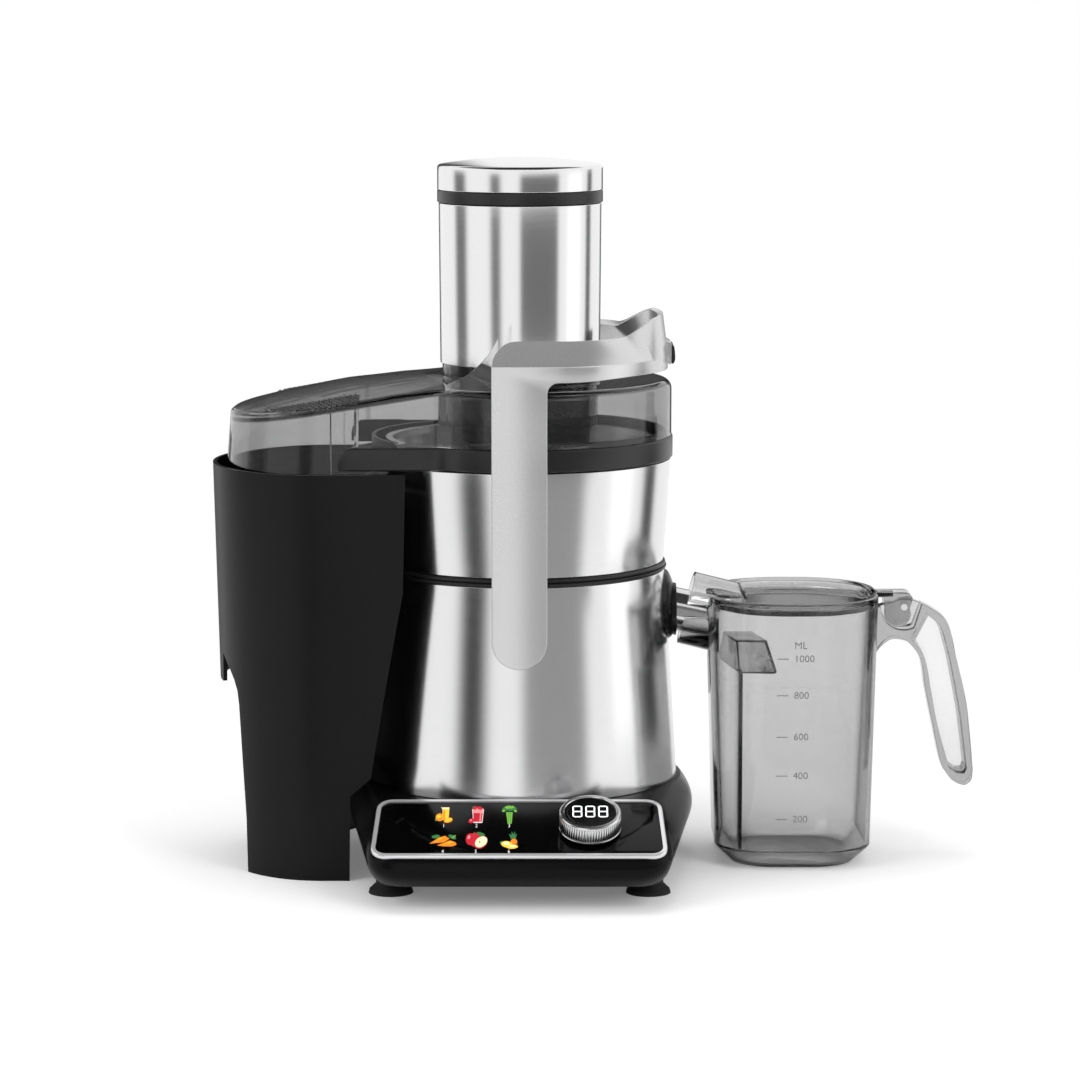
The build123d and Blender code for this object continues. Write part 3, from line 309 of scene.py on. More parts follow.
ROUND_BRUSH = (0.15, 0.15, 6.0)
metal("brushed_steel", (0.85, 0.85, 0.855), 0.18, 420.0, ROUND_BRUSH, depth=0.05)
metal("tube_steel", (0.88, 0.88, 0.885), 0.14, 420.0, ROUND_BRUSH, depth=0.04)
metal("polished_steel", (0.74, 0.74, 0.745), 0.12, 300.0, depth=0.02)
metal("basket_steel", (0.62, 0.62, 0.625), 0.24, 500.0)
metal("chrome_trim", (0.84, 0.84, 0.85), 0.09, 300.0, (0.2, 3, 3), depth=0.015, metallic=0.55)
metal("knob_chrome", (0.74, 0.74, 0.75), 0.16, 700.0, depth=0.03)
metal("satin_arm", (0.69, 0.69, 0.695), 0.25, 2600.0, depth=0.05, metallic=0.7)
metal("zinc_screw", (0.62, 0.63, 0.64), 0.3, 900.0)
metal("bracket_steel", (0.55, 0.56, 0.57), 0.38, 700.0)
metal("lamination_steel", (0.30, 0.30, 0.31), 0.45, 900.0, (0.2, 0.2, 8))
metal("bearing_steel", (0.68, 0.68, 0.69), 0.18, 700.0, (0.5, 0.5, 4))
metal("copper_wire", (0.70, 0.33, 0.16), 0.32, 900.0, (0.3, 6, 0.3))
metal("copper_bar", (0.78, 0.42, 0.24), 0.28, 800.0, (1, 1, 0.2))
metal("brass_holder", (0.76, 0.58, 0.27), 0.3, 700.0)
moulded("base_black", 0.004, 0.24, 0.09, grain=1600, depth=0.03)
moulded("black_plastic", 0.022, 0.48, 0.35)
moulded("black_rubber", 0.016, 0.68, 0.25, depth=0.2)
moulded("seal_black", 0.012, 0.38, 0.35)
moulded("board_green", 0.03, 0.5, 0.4, tint=(0.5, 3.0, 1.3))
moulded("fan_plastic", 0.03, 0.5, 0.4)
moulded("bowl_black", 0.009, 0.34, 0.25)
moulded("band_black", 0.014, 0.33, 0.4, grain=1700, depth=0.06)
moulded("escutcheon_black", 0.006, 0.28, 0.25, depth=0.03)
moulded("chute_dark", 0.008, 0.3, 0.2)
moulded("pusher_black", 0.020, 0.42, 0.35)
moulded("grip_black", 0.016, 0.5, 0.3, depth=0.18)
moulded("bin_black", 0.010, 0.36, 0.11, grain=2000, depth=0.08)
moulded("black_glass", 0.0015, 0.05, 0.16, grain=300, depth=0.003)
moulded("display_black", 0.002, 0.1, 0.2, grain=300, depth=0.003)
# The lid's finish carries a band of painted shade along its upper bend.
smoky("smoke_lid", 205.0, edge=0.015, edge_from=0.78, line=lid_bend_line)
smoky("smoke_jug", 100.0, edge=0.02, edge_from=0.4, edge_to=0.92)
smoky("smoke_baffle", 150.0)
smoky("smoke_handle", 42.0, edge=0.02, edge_from=0.06, edge_to=0.45)
smoky("smoke_jug_lid", 112.0, edge=0.015, edge_from=0.78)
smoky("clear_fin", 12.0)
smoky("dark_dots", 700.0)


def ink(name, colour, glow=0.0):
    """Printed mark or lit segment, a little uneven in tone; a glow given to a printed mark is painted light.
    """
    finish = Finish(name, Roughness=0.45, Specular_IOR_Level=0.3, Emission_Strength=glow)
    uneven = finish.noise(900.0, 2.0)
    tone = finish.blend(uneven, shade(colour, 0.88), shade(colour, 1.0))
    finish.set(Base_Color=tone)
    if glow:
        finish.set(Emission_Color=tone)
    return finish


# Ways of making meshes


def outward(bm):
    """Turns every face of a closed mesh outwards."""
    bmesh.ops.recalc_face_normals(bm, faces=bm.faces)
    return bm


def tidy(bm):
    bmesh.ops.remove_doubles(bm, verts=bm.verts, dist=0.002)
    bmesh.ops.dissolve_degenerate(bm, edges=bm.edges, dist=0.0005)
    return outward(bm)


def slice_flat(bm, at, normal, **clear):
    """Cuts a mesh along a plane, and clears one side of it where that is asked."""
    bmesh.ops.bisect_plane(bm, geom=bm.verts[:] + bm.edges[:] + bm.faces[:], dist=0.001, plane_co=at,
                           plane_no=normal, **clear)


def loop(bm, corners, up):
    """A closed line through corners (a, b[, rounding]), laid out in space by up(a, b)."""
    verts = [bm.verts.new(up(corner[0], corner[1])) for corner in corners]
    for first, second in zip(verts, verts[1:] + verts[:1]):
        bm.edges.new((first, second))
    for vert, corner in zip(verts, corners):
        if len(corner) == 3:
            bmesh.ops.bevel(bm, geom=[vert], offset=corner[2], offset_type="OFFSET", segments=6,
                            profile=0.5, affect="VERTICES", material=-1)
    return bm


def turned(outline, steps=192):
    """A closed (radius, height[, rounding]) outline spun about the Z axis."""
    bm = loop(bmesh.new(), outline, lambda r, z: (r, 0, z))
    bmesh.ops.spin(bm, geom=bm.verts[:] + bm.edges[:], axis=(0, 0, 1), cent=(0, 0, 0),
                   angle=2 * math.pi, steps=steps, use_merge=True)
    return tidy(bm)


def slab(outline, depth, edge=0.0):
    """A flat (x, y[, rounding]) outline thickened upwards, with its top and bottom edges rounded."""
    bm = loop(bmesh.new(), outline, lambda x, y: (x, y, 0))
    bmesh.ops.remove_doubles(bm, verts=bm.verts, dist=0.002)
    bmesh.ops.edgeloop_fill(bm, edges=bm.edges)
    thick = bmesh.ops.extrude_face_region(bm, geom=bm.faces[:])
    risen = [part for part in thick["geom"] if isinstance(part, bmesh.types.BMVert)]
    bmesh.ops.translate(bm, verts=risen, vec=(0, 0, depth))
    outward(bm)
    if edge:
        rims = [e for e in bm.edges if abs(e.verts[0].co.z - e.verts[1].co.z) < 1e-6]
        bmesh.ops.bevel(bm, geom=rims, offset=edge, offset_type="OFFSET", segments=3, profile=0.5,
                        affect="EDGES", material=-1, clamp_overlap=True)
    return bm


def sheet(columns, rows, where):
    """A grid of faces laid out by where(column, row); ends that meet are joined."""
    bm = bmesh.new()
    bmesh.ops.create_grid(bm, x_segments=columns, y_segments=rows, size=0.5)
    for vert in bm.verts:
        vert.co = where(round((vert.co.x + 0.5) * columns), round((vert.co.y + 0.5) * rows))
    return tidy(bm)


def close(bm, chosen=lambda vert: True):
    """Fills the open edges whose two ends are chosen."""
    rims = [e for e in bm.edges if e.is_boundary and all(chosen(v) for v in e.verts)]
    bmesh.ops.holes_fill(bm, edges=rims, sides=0)
    return outward(bm)


def joined(*parts):
    """Several meshes as one."""
    whole = bmesh.new()
    for part in parts:
        holder = bpy.data.meshes.new("part")
        part.to_mesh(holder)
        whole.from_mesh(holder)
        bpy.data.meshes.remove(holder)
        part.free()
    return whole


def moved(bm, matrix):
    bm.transform(matrix)
    if matrix.determinant() < 0:
        bmesh.ops.reverse_faces(bm, faces=bm.faces)
    return bm


def copies(make, matrices):
    return joined(*[moved(make(), matrix) for matrix in matrices])


def bare(name, bm):
    mesh = bpy.data.meshes.new(name)
    bm.to_mesh(mesh)
    bm.free()
    piece = bpy.data.objects.new(name, mesh)
    bpy.context.scene.collection.objects.link(piece)
    return piece


def evaluated_mesh(piece):
    bpy.context.view_layer.update()
    return bpy.data.meshes.new_from_object(piece.evaluated_get(bpy.context.evaluated_depsgraph_get()))


def modify(piece, kind, **settings):
    """Puts a modifier on a piece and applies it."""
    modifier = piece.modifiers.new(kind, kind)
    for name, value in settings.items():
        setattr(modifier, name, value)
    made = evaluated_mesh(piece)
    piece.modifiers.clear()
    piece.data = made


def carve(piece, bm, operation="DIFFERENCE"):
    """Cuts another mesh out of a piece, or adds it to the piece."""
    cutter = bare("cutter", bm)
    modify(piece, "BOOLEAN", operation=operation, solver="EXACT", object=cutter)
    bpy.data.objects.remove(cutter)


def settle(name, bm, body, slot, nodes=(), wall=0.0, cuts=(), joins=(), edge=0.0, sharp=32.0, finish=None):
    """Gives a mesh its wall, cut-outs and edge rounding, then its place, finish and body."""
    piece = bare(name, bm)
    if wall:
        modify(piece, "SOLIDIFY", thickness=wall, offset=-1.0, use_even_offset=True)
    for part in joins:
        carve(piece, part, "UNION")
    for part in cuts:
        carve(piece, part)
    if edge:
        modify(piece, "BEVEL", width=edge, segments=3, limit_method="ANGLE", angle_limit=math.radians(28),
               use_clamp_overlap=True)
    mesh = piece.data
    mesh.transform(PLACE)
    mesh.shade_smooth()
    mesh.set_sharp_from_angle(angle=math.radians(sharp))
    mesh.materials.clear()
    mesh.materials.append((finish or FINISHES[slot]).material)
    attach(piece, body)
    if nodes:
        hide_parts(*nodes)
    return piece


def round_tube(radius, bore, z0, z1):
    return turned([(bore, z0, 0.5), (radius, z0, 0.5), (radius, z1, 0.5), (bore, z1, 0.5)])


def arc(x, y, radius, start, end, steps):
    """Points on a circle from one angle to another, with both ends."""
    angles = [start + (end - start) * step / steps for step in range(steps + 1)]
    return [(x + radius * math.cos(angle), y + radius * math.sin(angle)) for angle in angles]


def upright(y):
    """Stands a flat outline up in the XZ plane, with its thickness to the front from y."""
    return Matrix.Translation((0, y, 0)) @ STAND


def crosswise(x, z=0.0):
    """Stands a flat outline up across the X axis, with its thickness to the right from x."""
    return Matrix.Translation((x, 0, z)) @ Matrix.Rotation(math.pi / 2, 4, "Z") @ STAND


def bend(points, steps=8):
    """A smooth line through the points."""
    points = [Vector((*point, 0)) for point in points]
    ends = [points[0] * 2 - points[1], *points, points[-1] * 2 - points[-2]]
    line = [points[0]]
    for before, first, second, after in zip(ends, ends[1:], ends[2:], ends[3:]):
        reach = (second - first).length / 3
        leave = first + (second - before).normalized() * reach
        arrive = second - (after - first).normalized() * reach
        line += interpolate_bezier(first, leave, arrive, second, steps + 1)[1:]
    return [(point.x, point.y) for point in line]


# Steel body


def steel_body():
    (z0, z1), (r0, r1) = SHELL_Z, SHELL_R
    shell = turned([(r0 - STEEL_GAUGE, z0), (r0, z0, 0.4), (r1, z1, 0.4), (r1 - STEEL_GAUGE, z1)])
    settle("lower_shell", shell, "juicer_base", "brushed_steel", ["lower_steel_shell"])
    (z0, z1), (r0, r1) = JACKET_Z, JACKET_R
    jacket = turned([(r0 - STEEL_GAUGE, z0), (r0, z0, 0.6), (r1, z1, 0.3), (r1 - STEEL_GAUGE, z1)])
    settle("bowl_jacket", jacket, "juicer_base", "brushed_steel", ["bowl_steel_jacket"])
    beads = turned([(80.4, 172.7), (85.4, 172.7, 0.9), (86.1, 174.6, 0.5), (84.6, 175.1),
                    (85.6, 175.6, 0.5), (85.0, 177.5, 0.8), (80.4, 177.5)])
    settle("seam_beads", beads, "juicer_base", "seal_black", ["seam_ring"])
    (z0, z1), (r0, r1) = TUBE_Z, TUBE_R
    sleeve = turned([(TUBE_BORE, z0), (r0, z0, 0.4), (r1, z1, 0.6), (TUBE_BORE, z1)])
    settle("feed_sleeve", sleeve, "juicer_base", "tube_steel", ["feed_tube_sleeve"])
    chute = round_tube(CHUTE_R, CHUTE_BORE, *CHUTE_Z)
    settle("chute_liner", chute, "juicer_base", "chute_dark", ["feed_chute"])


def pusher():
    dome = [(0.0, 412.6), (16.0, 412.1), (31.0, 410.8), (42.0, 409.4), (PUSHER_R, 408.4, 1.7)]
    inside = [(46.3, 394.0), (46.3, 405.5), (43.0, 407.0), (0.0, 410.8)]
    cap = turned([*dome, (PUSHER_R, 394.0, 0.5), *inside])
    settle("pusher_top_cap", cap, "pusher", "tube_steel", ["pusher_cap"])
    stop = round_tube(PUSHER_R + 0.1, 45.6, *PUSHER_BAND_Z)
    settle("pusher_stop_band", stop, "pusher", "band_black", ["pusher_band"])


def spout_surround():
    """Black domed oval that carries the spout, set into the lower shell's right side, with a collar."""
    middle, half_y, half_z = 150.6, 23.0, 21.0
    dome_high, rim_high, rim_sunk = 5.4, 0.5, -0.6
    columns, rows = 72, 14

    def where(column, row):
        angle, out = 2 * math.pi * column / columns, row / rows
        y, z = half_y * out * math.cos(angle), middle + half_z * out * math.sin(angle)
        r = between(z, list(zip(SHELL_Z, SHELL_R)))
        swell = max(rim_high, dome_high * (1 - out ** 2.6) ** 0.62) if row < rows else rim_sunk
        return (math.sqrt(r * r - y * y) + swell, y, z)

    dome = sheet(columns, rows, where)
    settle("spout_surround", dome, "juicer_base", "escutcheon_black", ["spout_escutcheon"], sharp=50)
    start, end = COLLAR_REACH
    inner, outer = SPOUT_R + 0.15, SPOUT_R + 2.4
    ring = turned([(inner, start), (outer, start), (outer, end, 0.7), (inner, end, 0.3)], steps=96)
    along = Matrix.Translation(SPOUT_ROOT) @ Matrix.Rotation(math.pi / 2 + SPOUT_SLOPE, 4, "Y")
    collar = moved(ring, along)
    slice_flat(collar, (COLLAR_FACE_X, 0, 0), (1, 0, 0), clear_outer=True)
    bmesh.ops.bridge_loops(collar, edges=[e for e in collar.edges if e.is_boundary])
    settle("spout_collar", outward(collar), "juicer_base", "escutcheon_black", edge=0.4)


# Base and control panel


def shield(level, column, half):
    """Point on the base's plan: round back, straight sides and a straight front with round corners."""
    half_front, front_y, corner, back_r = level
    reach = math.hypot(half_front, front_y)
    bearing = math.atan2(front_y, half_front) + math.acos(back_r / reach)
    tangent = Vector((back_r * math.cos(bearing), back_r * math.sin(bearing)))
    tip = Vector((half_front, front_y))
    side = (tangent - tip).normalized()
    front = Vector((-1, 0))
    opening = math.acos(side.dot(front))
    run = corner / math.tan(opening / 2)
    centre = tip + (side + front).normalized() * corner / math.sin(opening / 2)
    mirrored = column > half
    step = 2 * half - column if mirrored else column
    back_steps, side_steps, turn_steps = 44, 8, 14
    past_back, past_side = step - back_steps, step - back_steps - side_steps
    if past_back <= 0:
        angle = math.pi / 2 + (bearing - math.pi / 2) * step / back_steps
        point = Vector((back_r * math.cos(angle), back_r * math.sin(angle)))
    elif past_side <= 0:
        point = tangent.lerp(tip + side * run, past_back / side_steps)
    elif past_side <= turn_steps:
        start, end = tip + side * run - centre, tip + front * run - centre
        sweep = start.angle_signed(end)
        angle = math.atan2(start.y, start.x) - sweep * past_side / turn_steps
        point = centre + corner * Vector((math.cos(angle), math.sin(angle)))
    else:
        share = (past_side - turn_steps) / (half - back_steps - side_steps - turn_steps)
        point = (tip + front * run).lerp(Vector((0, front_y)), share)
    return (-point.x if mirrored else point.x, point.y)


def base_level(z):
    """Plan sizes at a height, on one smooth curve through the three levels."""
    heights = [level[0] for level in BASE_LEVELS]
    shares = []
    for i, own in enumerate(heights):
        share = 1.0
        for j, other in enumerate(heights):
            if i != j:
                share *= (z - other) / (own - other)
        shares.append(share)
    return [sum(share * level[k] for share, level in zip(shares, BASE_LEVELS)) for k in range(1, 5)]


def base():
    half, rows = 76, 16
    z0, z1 = BASE_LEVELS[0][0], BASE_LEVELS[-1][0]

    def where(column, row):
        z = z0 + (z1 - z0) * row / rows
        return (*shield(base_level(z), column, half), z)

    housing = close(sheet(2 * half, rows, where))
    slice_flat(housing, PANEL.to_translation(), PANEL.to_3x3() @ Vector((0, 0, 1)), clear_outer=True)
    settle("motor_base", close(housing), "juicer_base", "base_black", ["base_housing"], edge=1.4, sharp=40)


def panel_outline(inset):
    """The panel's outline, a little wider at the front, drawn in by the inset."""
    back, front, deep = PANEL_BACK / 2 - inset, PANEL_FRONT / 2 - inset, PANEL_DEEP / 2 - inset
    corner = PANEL_CORNER - inset
    return [(back, deep, corner), (-back, deep, corner), (-front, -deep, corner), (front, -deep, corner)]


def panel():
    sink = PANEL @ Matrix.Translation((0, 0, -1.9))
    hole = moved(slab(panel_outline(BEZEL), 8), PANEL @ Matrix.Translation((0, 0, -4)))
    settle("panel_frame", moved(slab(panel_outline(0), 2.7, edge=0.7), sink), "juicer_base", "chrome_trim",
           ["panel_bezel"], cuts=[hole])
    glass = slab(panel_outline(BEZEL + 0.1), 2.1, edge=0.3)
    settle("panel_face", moved(glass, sink), "juicer_base", "black_glass", ["panel_glass"])
    programme_icons()


def spot(x, y, across, tall, turn=0.0):
    """Small flat oval."""
    bm = bmesh.new()
    bmesh.ops.create_circle(bm, cap_ends=True, segments=28, radius=1.0)
    at = Matrix.Translation((x, y, 0)) @ Matrix.Rotation(turn, 4, "Z")
    return moved(bm, at @ Matrix.Diagonal((across, tall, 1, 1)))


def patch(*corners):
    """Small flat patch with straight edges."""
    bm = loop(bmesh.new(), corners, lambda x, y: (x, y, 0))
    bmesh.ops.edgeloop_fill(bm, edges=bm.edges)
    if bm.faces[:][0].normal.z < 0:
        bmesh.ops.reverse_faces(bm, faces=bm.faces)
    return bm


SIGN_COLOURS = {"orange": (0.84, 0.23, 0.01), "yellow": (0.90, 0.55, 0.04), "red": (0.50, 0.012, 0.03),
                "pink": (0.82, 0.27, 0.27), "green": (0.17, 0.42, 0.05), "leaf": (0.03, 0.17, 0.05),
                "cream": (0.86, 0.78, 0.48), "white": (0.75, 0.75, 0.75), "brown": (0.30, 0.11, 0.02)}
# Signs from their lowest layer up: an oval is (colour, x, y, half width, half height[, turn]),
# a patch is (colour, corners)
GLASS_OF_JUICE = [
    ("leaf", -4.3, -2.5, 0.9, 0.8), ("orange", -2.5, -1.3, 2.3, 2.0), ("yellow", -2.9, -0.9, 1.3, 0.9),
    ("white", [(-1.9, 4.0), (-1.6, 4.1), (-0.5, 2.2), (-0.8, 2.1)]),
    ("cream", [(-1.1, 3.8), (2.8, 3.8), (2.5, -2.8), (-0.9, -2.8)]),
    ("yellow", [(-1.0, 2.9), (2.7, 2.9), (2.5, -2.8), (-0.9, -2.8)]),
    ("orange", [(-0.6, 2.2), (0.4, 2.2), (0.4, -2.8), (-0.6, -2.8)]),
    ("orange", 2.4, -2.9, 2.5, 1.3, 0.2), ("yellow", 2.4, -2.7, 2.0, 0.9, 0.2)]
BERRY_DRINK = [
    ("white", [(-2.7, 2.9), (4.0, 2.9), (3.2, -4.2), (-1.8, -4.2)]),
    ("pink", [(-2.4, 2.9), (3.7, 2.9), (3.4, 0.8), (-2.2, 0.8)]),
    ("red", [(-2.1, 0.9), (3.4, 0.9), (2.9, -3.7), (-1.6, -3.7)]),
    ("pink", [(1.9, 0.9), (2.6, 0.9), (2.2, -3.3), (1.6, -3.3)]),
    ("pink", 0.6, 2.9, 3.1, 0.7), ("red", -1.0, 3.5, 1.3, 0.9, 0.4), ("red", 1.6, 3.4, 1.4, 0.9, -0.3),
    ("leaf", -2.1, 4.0, 0.6, 0.3, 0.5), ("red", -2.9, -3.2, 1.8, 1.2, 0.3), ("pink", -3.2, -2.9, 0.6, 0.4)]
STALKS = [
    ("green", [(-1.9, 1.4), (1.9, 1.4), (1.3, -4.6), (-0.9, -4.6)]),
    ("leaf", [(-0.8, 1.4), (-0.5, 1.4), (0.0, -4.4), (-0.2, -4.4)]),
    ("leaf", [(0.6, 1.4), (0.9, 1.4), (0.7, -4.4), (0.5, -4.4)]),
    ("leaf", -2.5, 2.9, 1.6, 1.2, 0.5), ("leaf", 2.5, 3.1, 1.6, 1.2, -0.5), ("green", -0.1, 3.6, 1.8, 1.1),
    ("green", -3.3, 2.0, 0.9, 0.6), ("green", 3.4, 1.9, 0.9, 0.6), ("leaf", 0.3, 2.5, 1.2, 0.7),
    ("green", -1.9, 3.9, 0.8, 0.5, 0.7), ("green", 2.0, 4.0, 0.8, 0.5, -0.7)]
CARROTS = [
    ("leaf", -4.2, 1.9, 2.3, 0.9, 0.1), ("leaf", 5.0, 1.7, 2.3, 0.9, -0.4),
    ("green", 5.9, 1.9, 1.3, 0.35, 0.5),
    ("orange", [(-7.7, -1.7), (-2.6, 1.3), (1.0, 2.3), (3.5, 0.8), (0.4, -1.0)]),
    ("yellow", [(-4.4, -0.4), (-2.0, 0.9), (0.4, 1.6), (-1.9, 0.5)]),
    ("brown", [(-3.2, -2.4), (3.8, 0.1), (6.4, -0.8), (6.6, -1.2), (3.8, -0.3)]),
    ("orange", [(-3.4, -2.6), (3.9, -0.2), (6.9, -1.0), (7.5, -2.3), (5.0, -3.1), (0.4, -3.1)]),
    ("yellow", [(-0.4, -2.3), (3.9, -0.8), (5.6, -1.2), (2.8, -1.5)])]
APPLES = [
    ("leaf", 2.4, 3.2, 2.5, 0.9, -0.25), ("red", -3.4, 0.6, 2.4, 3.0), ("red", -0.8, 0.3, 3.2, 3.5),
    ("pink", -4.1, 1.6, 0.7, 1.0, -0.4), ("brown", [(-1.9, 3.0), (-1.2, 4.3), (-0.9, 4.2), (-1.5, 2.9)]),
    ("red", 2.6, -1.0, 4.0, 3.0, 0.5), ("cream", 2.8, -0.8, 3.6, 2.5, 0.5),
    ("brown", 2.0, -0.9, 0.4, 0.6, 0.5)]
PINEAPPLE = [
    ("leaf", [(1.0, 0.8), (-0.2, 3.4), (1.3, 2.6), (1.4, 4.6), (2.3, 3.1), (3.4, 4.7), (3.2, 2.7),
              (4.4, 3.4), (3.6, 0.8)]),
    ("brown", 2.7, -1.0, 2.0, 2.0), ("orange", 2.7, -0.6, 1.6, 1.3), ("leaf", -3.8, -1.4, 1.3, 0.9, -0.4),
    ("yellow", -1.2, -2.0, 3.2, 1.6, -0.1), ("cream", -1.6, -1.6, 1.8, 0.8, -0.1),
    ("yellow", 1.6, -3.2, 3.4, 1.1), ("cream", 1.9, -3.0, 2.0, 0.5)]
SIGN_PITCH, SIGN_LEFT, SIGN_ROWS, SIGN_STRETCH = 18.4, -42.5, (13.2, -12.4), 1.95
SIGN_LIFT, SIGN_LAYER = 0.24, 0.012


def programme_icons():
    """Six small fruit and vegetable signs in two rows of three, numbered below, drawn tall for a low eye."""
    layers = {}
    for place, sign in enumerate((GLASS_OF_JUICE, BERRY_DRINK, STALKS, CARROTS, APPLES, PINEAPPLE)):
        at = Matrix.Translation((SIGN_LEFT + SIGN_PITCH * (place % 3), SIGN_ROWS[place // 3], SIGN_LIFT))
        tall = Matrix.Scale(SIGN_STRETCH, 4, (0, 1, 0))
        for layer, (colour, *form) in enumerate(sign):
            shape = patch(*form[0]) if len(form) == 1 else spot(*form)
            lift = Matrix.Translation((0, 0, SIGN_LAYER * layer))
            layers.setdefault(colour, []).append(moved(shape, at @ lift @ tall))
        number = moved(lettering(str(place + 1), 2.6), at @ Matrix.Translation((-0.7, -12.6, 0.02)) @ tall)
        layers.setdefault("white", []).append(number)
    for colour, shapes in layers.items():
        # The signs are print; their glow is painted light, which makes them brighter than the lamps light
        # them.
        settle("icon_" + colour, moved(joined(*shapes), PANEL), "juicer_base", None,
               finish=ink("icon_" + colour, SIGN_COLOURS[colour], glow=0.5))


def knob():
    z0, z1 = KNOB_Z
    groove = KNOB_R - 0.45
    foot = [(KNOB_BORE, z0), (KNOB_R - 0.9, z0), (KNOB_R, z0 + 0.9), (KNOB_R, z0 + 1.3), (groove, z0 + 1.6)]
    fluted = [(KNOB_R, z0 + 1.9), (KNOB_R, z1 - 2.1)]
    top = [(groove, z1 - 1.7), (KNOB_R, z1 - 1.4), (KNOB_R - 0.1, z1 - 0.7), (KNOB_R - 0.5, z1 - 0.15),
           (KNOB_R - 1.1, z1), (KNOB_BORE + 0.4, z1), (KNOB_BORE, z1 - 0.4)]
    section = foot + fluted + top
    flutes, steps, flute_depth = 72, 6, 0.55

    def where(column, row):
        angle = 2 * math.pi * column / (flutes * steps)
        r, z = section[row % len(section)]
        if section[row % len(section)] in fluted:
            r -= flute_depth * math.sin(flutes * angle / 2) ** 2
        return (r * math.cos(angle), r * math.sin(angle), z)

    ring = sheet(flutes * steps, len(section), where)
    settle("knob_grip_ring", moved(ring, KNOB), "knob_dial", "knob_chrome", ["knob_ring"], sharp=40)
    face_z = z1 - 0.7
    face = turned([(0, z0), (14.2, z0), (14.2, face_z + 0.2, 0.5), (13.0, face_z + 0.2, 0.2),
                   (12.7, face_z, 0.1), (0, face_z)], steps=128)
    stem = turned([(0, -11), (3.0, -11, 0.4), (3.0, z0 + 0.1), (0, z0 + 0.1)], steps=32)
    settle("knob_face", moved(joined(face, stem), KNOB), "knob_core", "display_black", ["knob_display"])
    digits = moved(display_digits(), KNOB @ Matrix.Translation((0, 0, face_z + 0.02)))
    lit = ink("lit_segment", (0.9, 0.92, 0.95), glow=0.9)
    settle("display_digits", digits, "knob_core", None, finish=lit)


def display_digits():
    """Three digits with every bar lit, as on a display at rest."""
    tall, wide, thick, pitch = 10.4, 5.2, 1.0, 7.2
    tip, flank = wide / 2 - 0.5, wide / 2 - 0.8
    bar = [(-tip, 0), (-flank, thick / 2), (flank, thick / 2), (tip, 0), (flank, -thick / 2),
           (-flank, -thick / 2)]
    stretch = Matrix.Diagonal((1.2, 0.8, 1, 1))
    places = []
    for digit in (-1, 0, 1):
        middle = Matrix.Translation((digit * pitch, 0.9, 0))
        for level in (-1, 0, 1):
            places.append(middle @ Matrix.Translation((0, level * tall / 2, 0)))
        for side in (-1, 1):
            for level in (-1, 1):
                post = Matrix.Translation((side * (wide / 2 - 0.25), level * tall / 4, 0))
                places.append(middle @ post @ Matrix.Rotation(math.pi / 2, 4, "Z") @ stretch)
    return copies(lambda: slab(bar, 0.08), places)


# Bowl band and lid


def soft_max(first, second, blend):
    """The larger of two, with a rounded change from one to the other."""
    return second + (first - second) * ease(0.5 + (first - second) / (2 * blend))


def band():
    """Rim of the bowl, with two wings that run out over the bin and a ramp for the pulp between them."""
    tip = math.pi - math.atan2(WING_Y, -WING_TIP_X)
    columns = 220
    z0, z1 = BAND_Z
    section = [(0, 0), (1, 0.09), (1, 0.93), (0.75, 1), (0, 1)]

    def reach(angle, half, ring):
        if math.cos(angle) > -0.3:
            return ring
        return soft_max(half / max(1e-6, abs(math.sin(angle))), ring, 6.0)

    def where(column, row):
        angle = -tip + 2 * tip * column / columns
        outer = reach(angle, WING_Y, BAND_R)
        inner = reach(angle, WING_Y - WING_WALL, BAND_INNER_R)
        across, rise = section[row % len(section)]
        r = inner + (outer - inner) * across
        x, y = r * math.cos(angle), r * math.sin(angle)
        short = max(0.0, WING_TIP_R - (x - WING_TIP_X))
        top = z1 - WING_TIP_R + math.sqrt(max(0.0, WING_TIP_R ** 2 - short ** 2))
        return (x, y, z0 + (top - z0) * rise)

    ramp_columns, ramp_rows, ramp_rise = 48, 4, 2.0

    def ramp(column, row):
        angle = math.asin((COVER_HALF - 3.3) / RAMP_R) * (2 * column / ramp_columns - 1)
        r = BAND_INNER_R + (RAMP_R - BAND_INNER_R) * row / ramp_rows
        return (-r * math.cos(angle), r * math.sin(angle), z0 + ramp_rise)

    ring = close(sheet(columns, len(section), where))
    settle("rim_band", ring, "juicer_base", "band_black", ["bowl_rim_band"], edge=0.5, sharp=40)
    pulp_ramp = sheet(ramp_columns, ramp_rows, ramp)
    settle("pulp_ramp", pulp_ramp, "juicer_base", "band_black", wall=ramp_rise)


def cover_reach(angle):
    """Distance from the motor axis to the lid's edge in a direction."""
    across, along = abs(math.sin(angle)), math.cos(angle)
    if along > -0.25:
        return LID_R
    straight = COVER_HALF / max(across, 1e-6)
    if straight * along < COVER_CENTRE_X:
        a, b = COVER_LONG, COVER_HALF
        p = (along / a) ** 2 + (across / b) ** 2
        q = -2 * along * COVER_CENTRE_X / a ** 2
        s = (COVER_CENTRE_X / a) ** 2 - 1
        straight = (-q + math.sqrt(max(0.0, q * q - 4 * p * s))) / (2 * p)
    return soft_max(straight, LID_R, 5.0)


def crown(x, y):
    """Height of the lid's top."""
    side = between(x, [(row[0], row[1]) for row in COVER_CROWN])
    rise = between(x, [(row[0], row[2]) for row in COVER_CROWN])
    return side + rise * (1 - min(1.0, (y / COVER_HALF) ** 2))


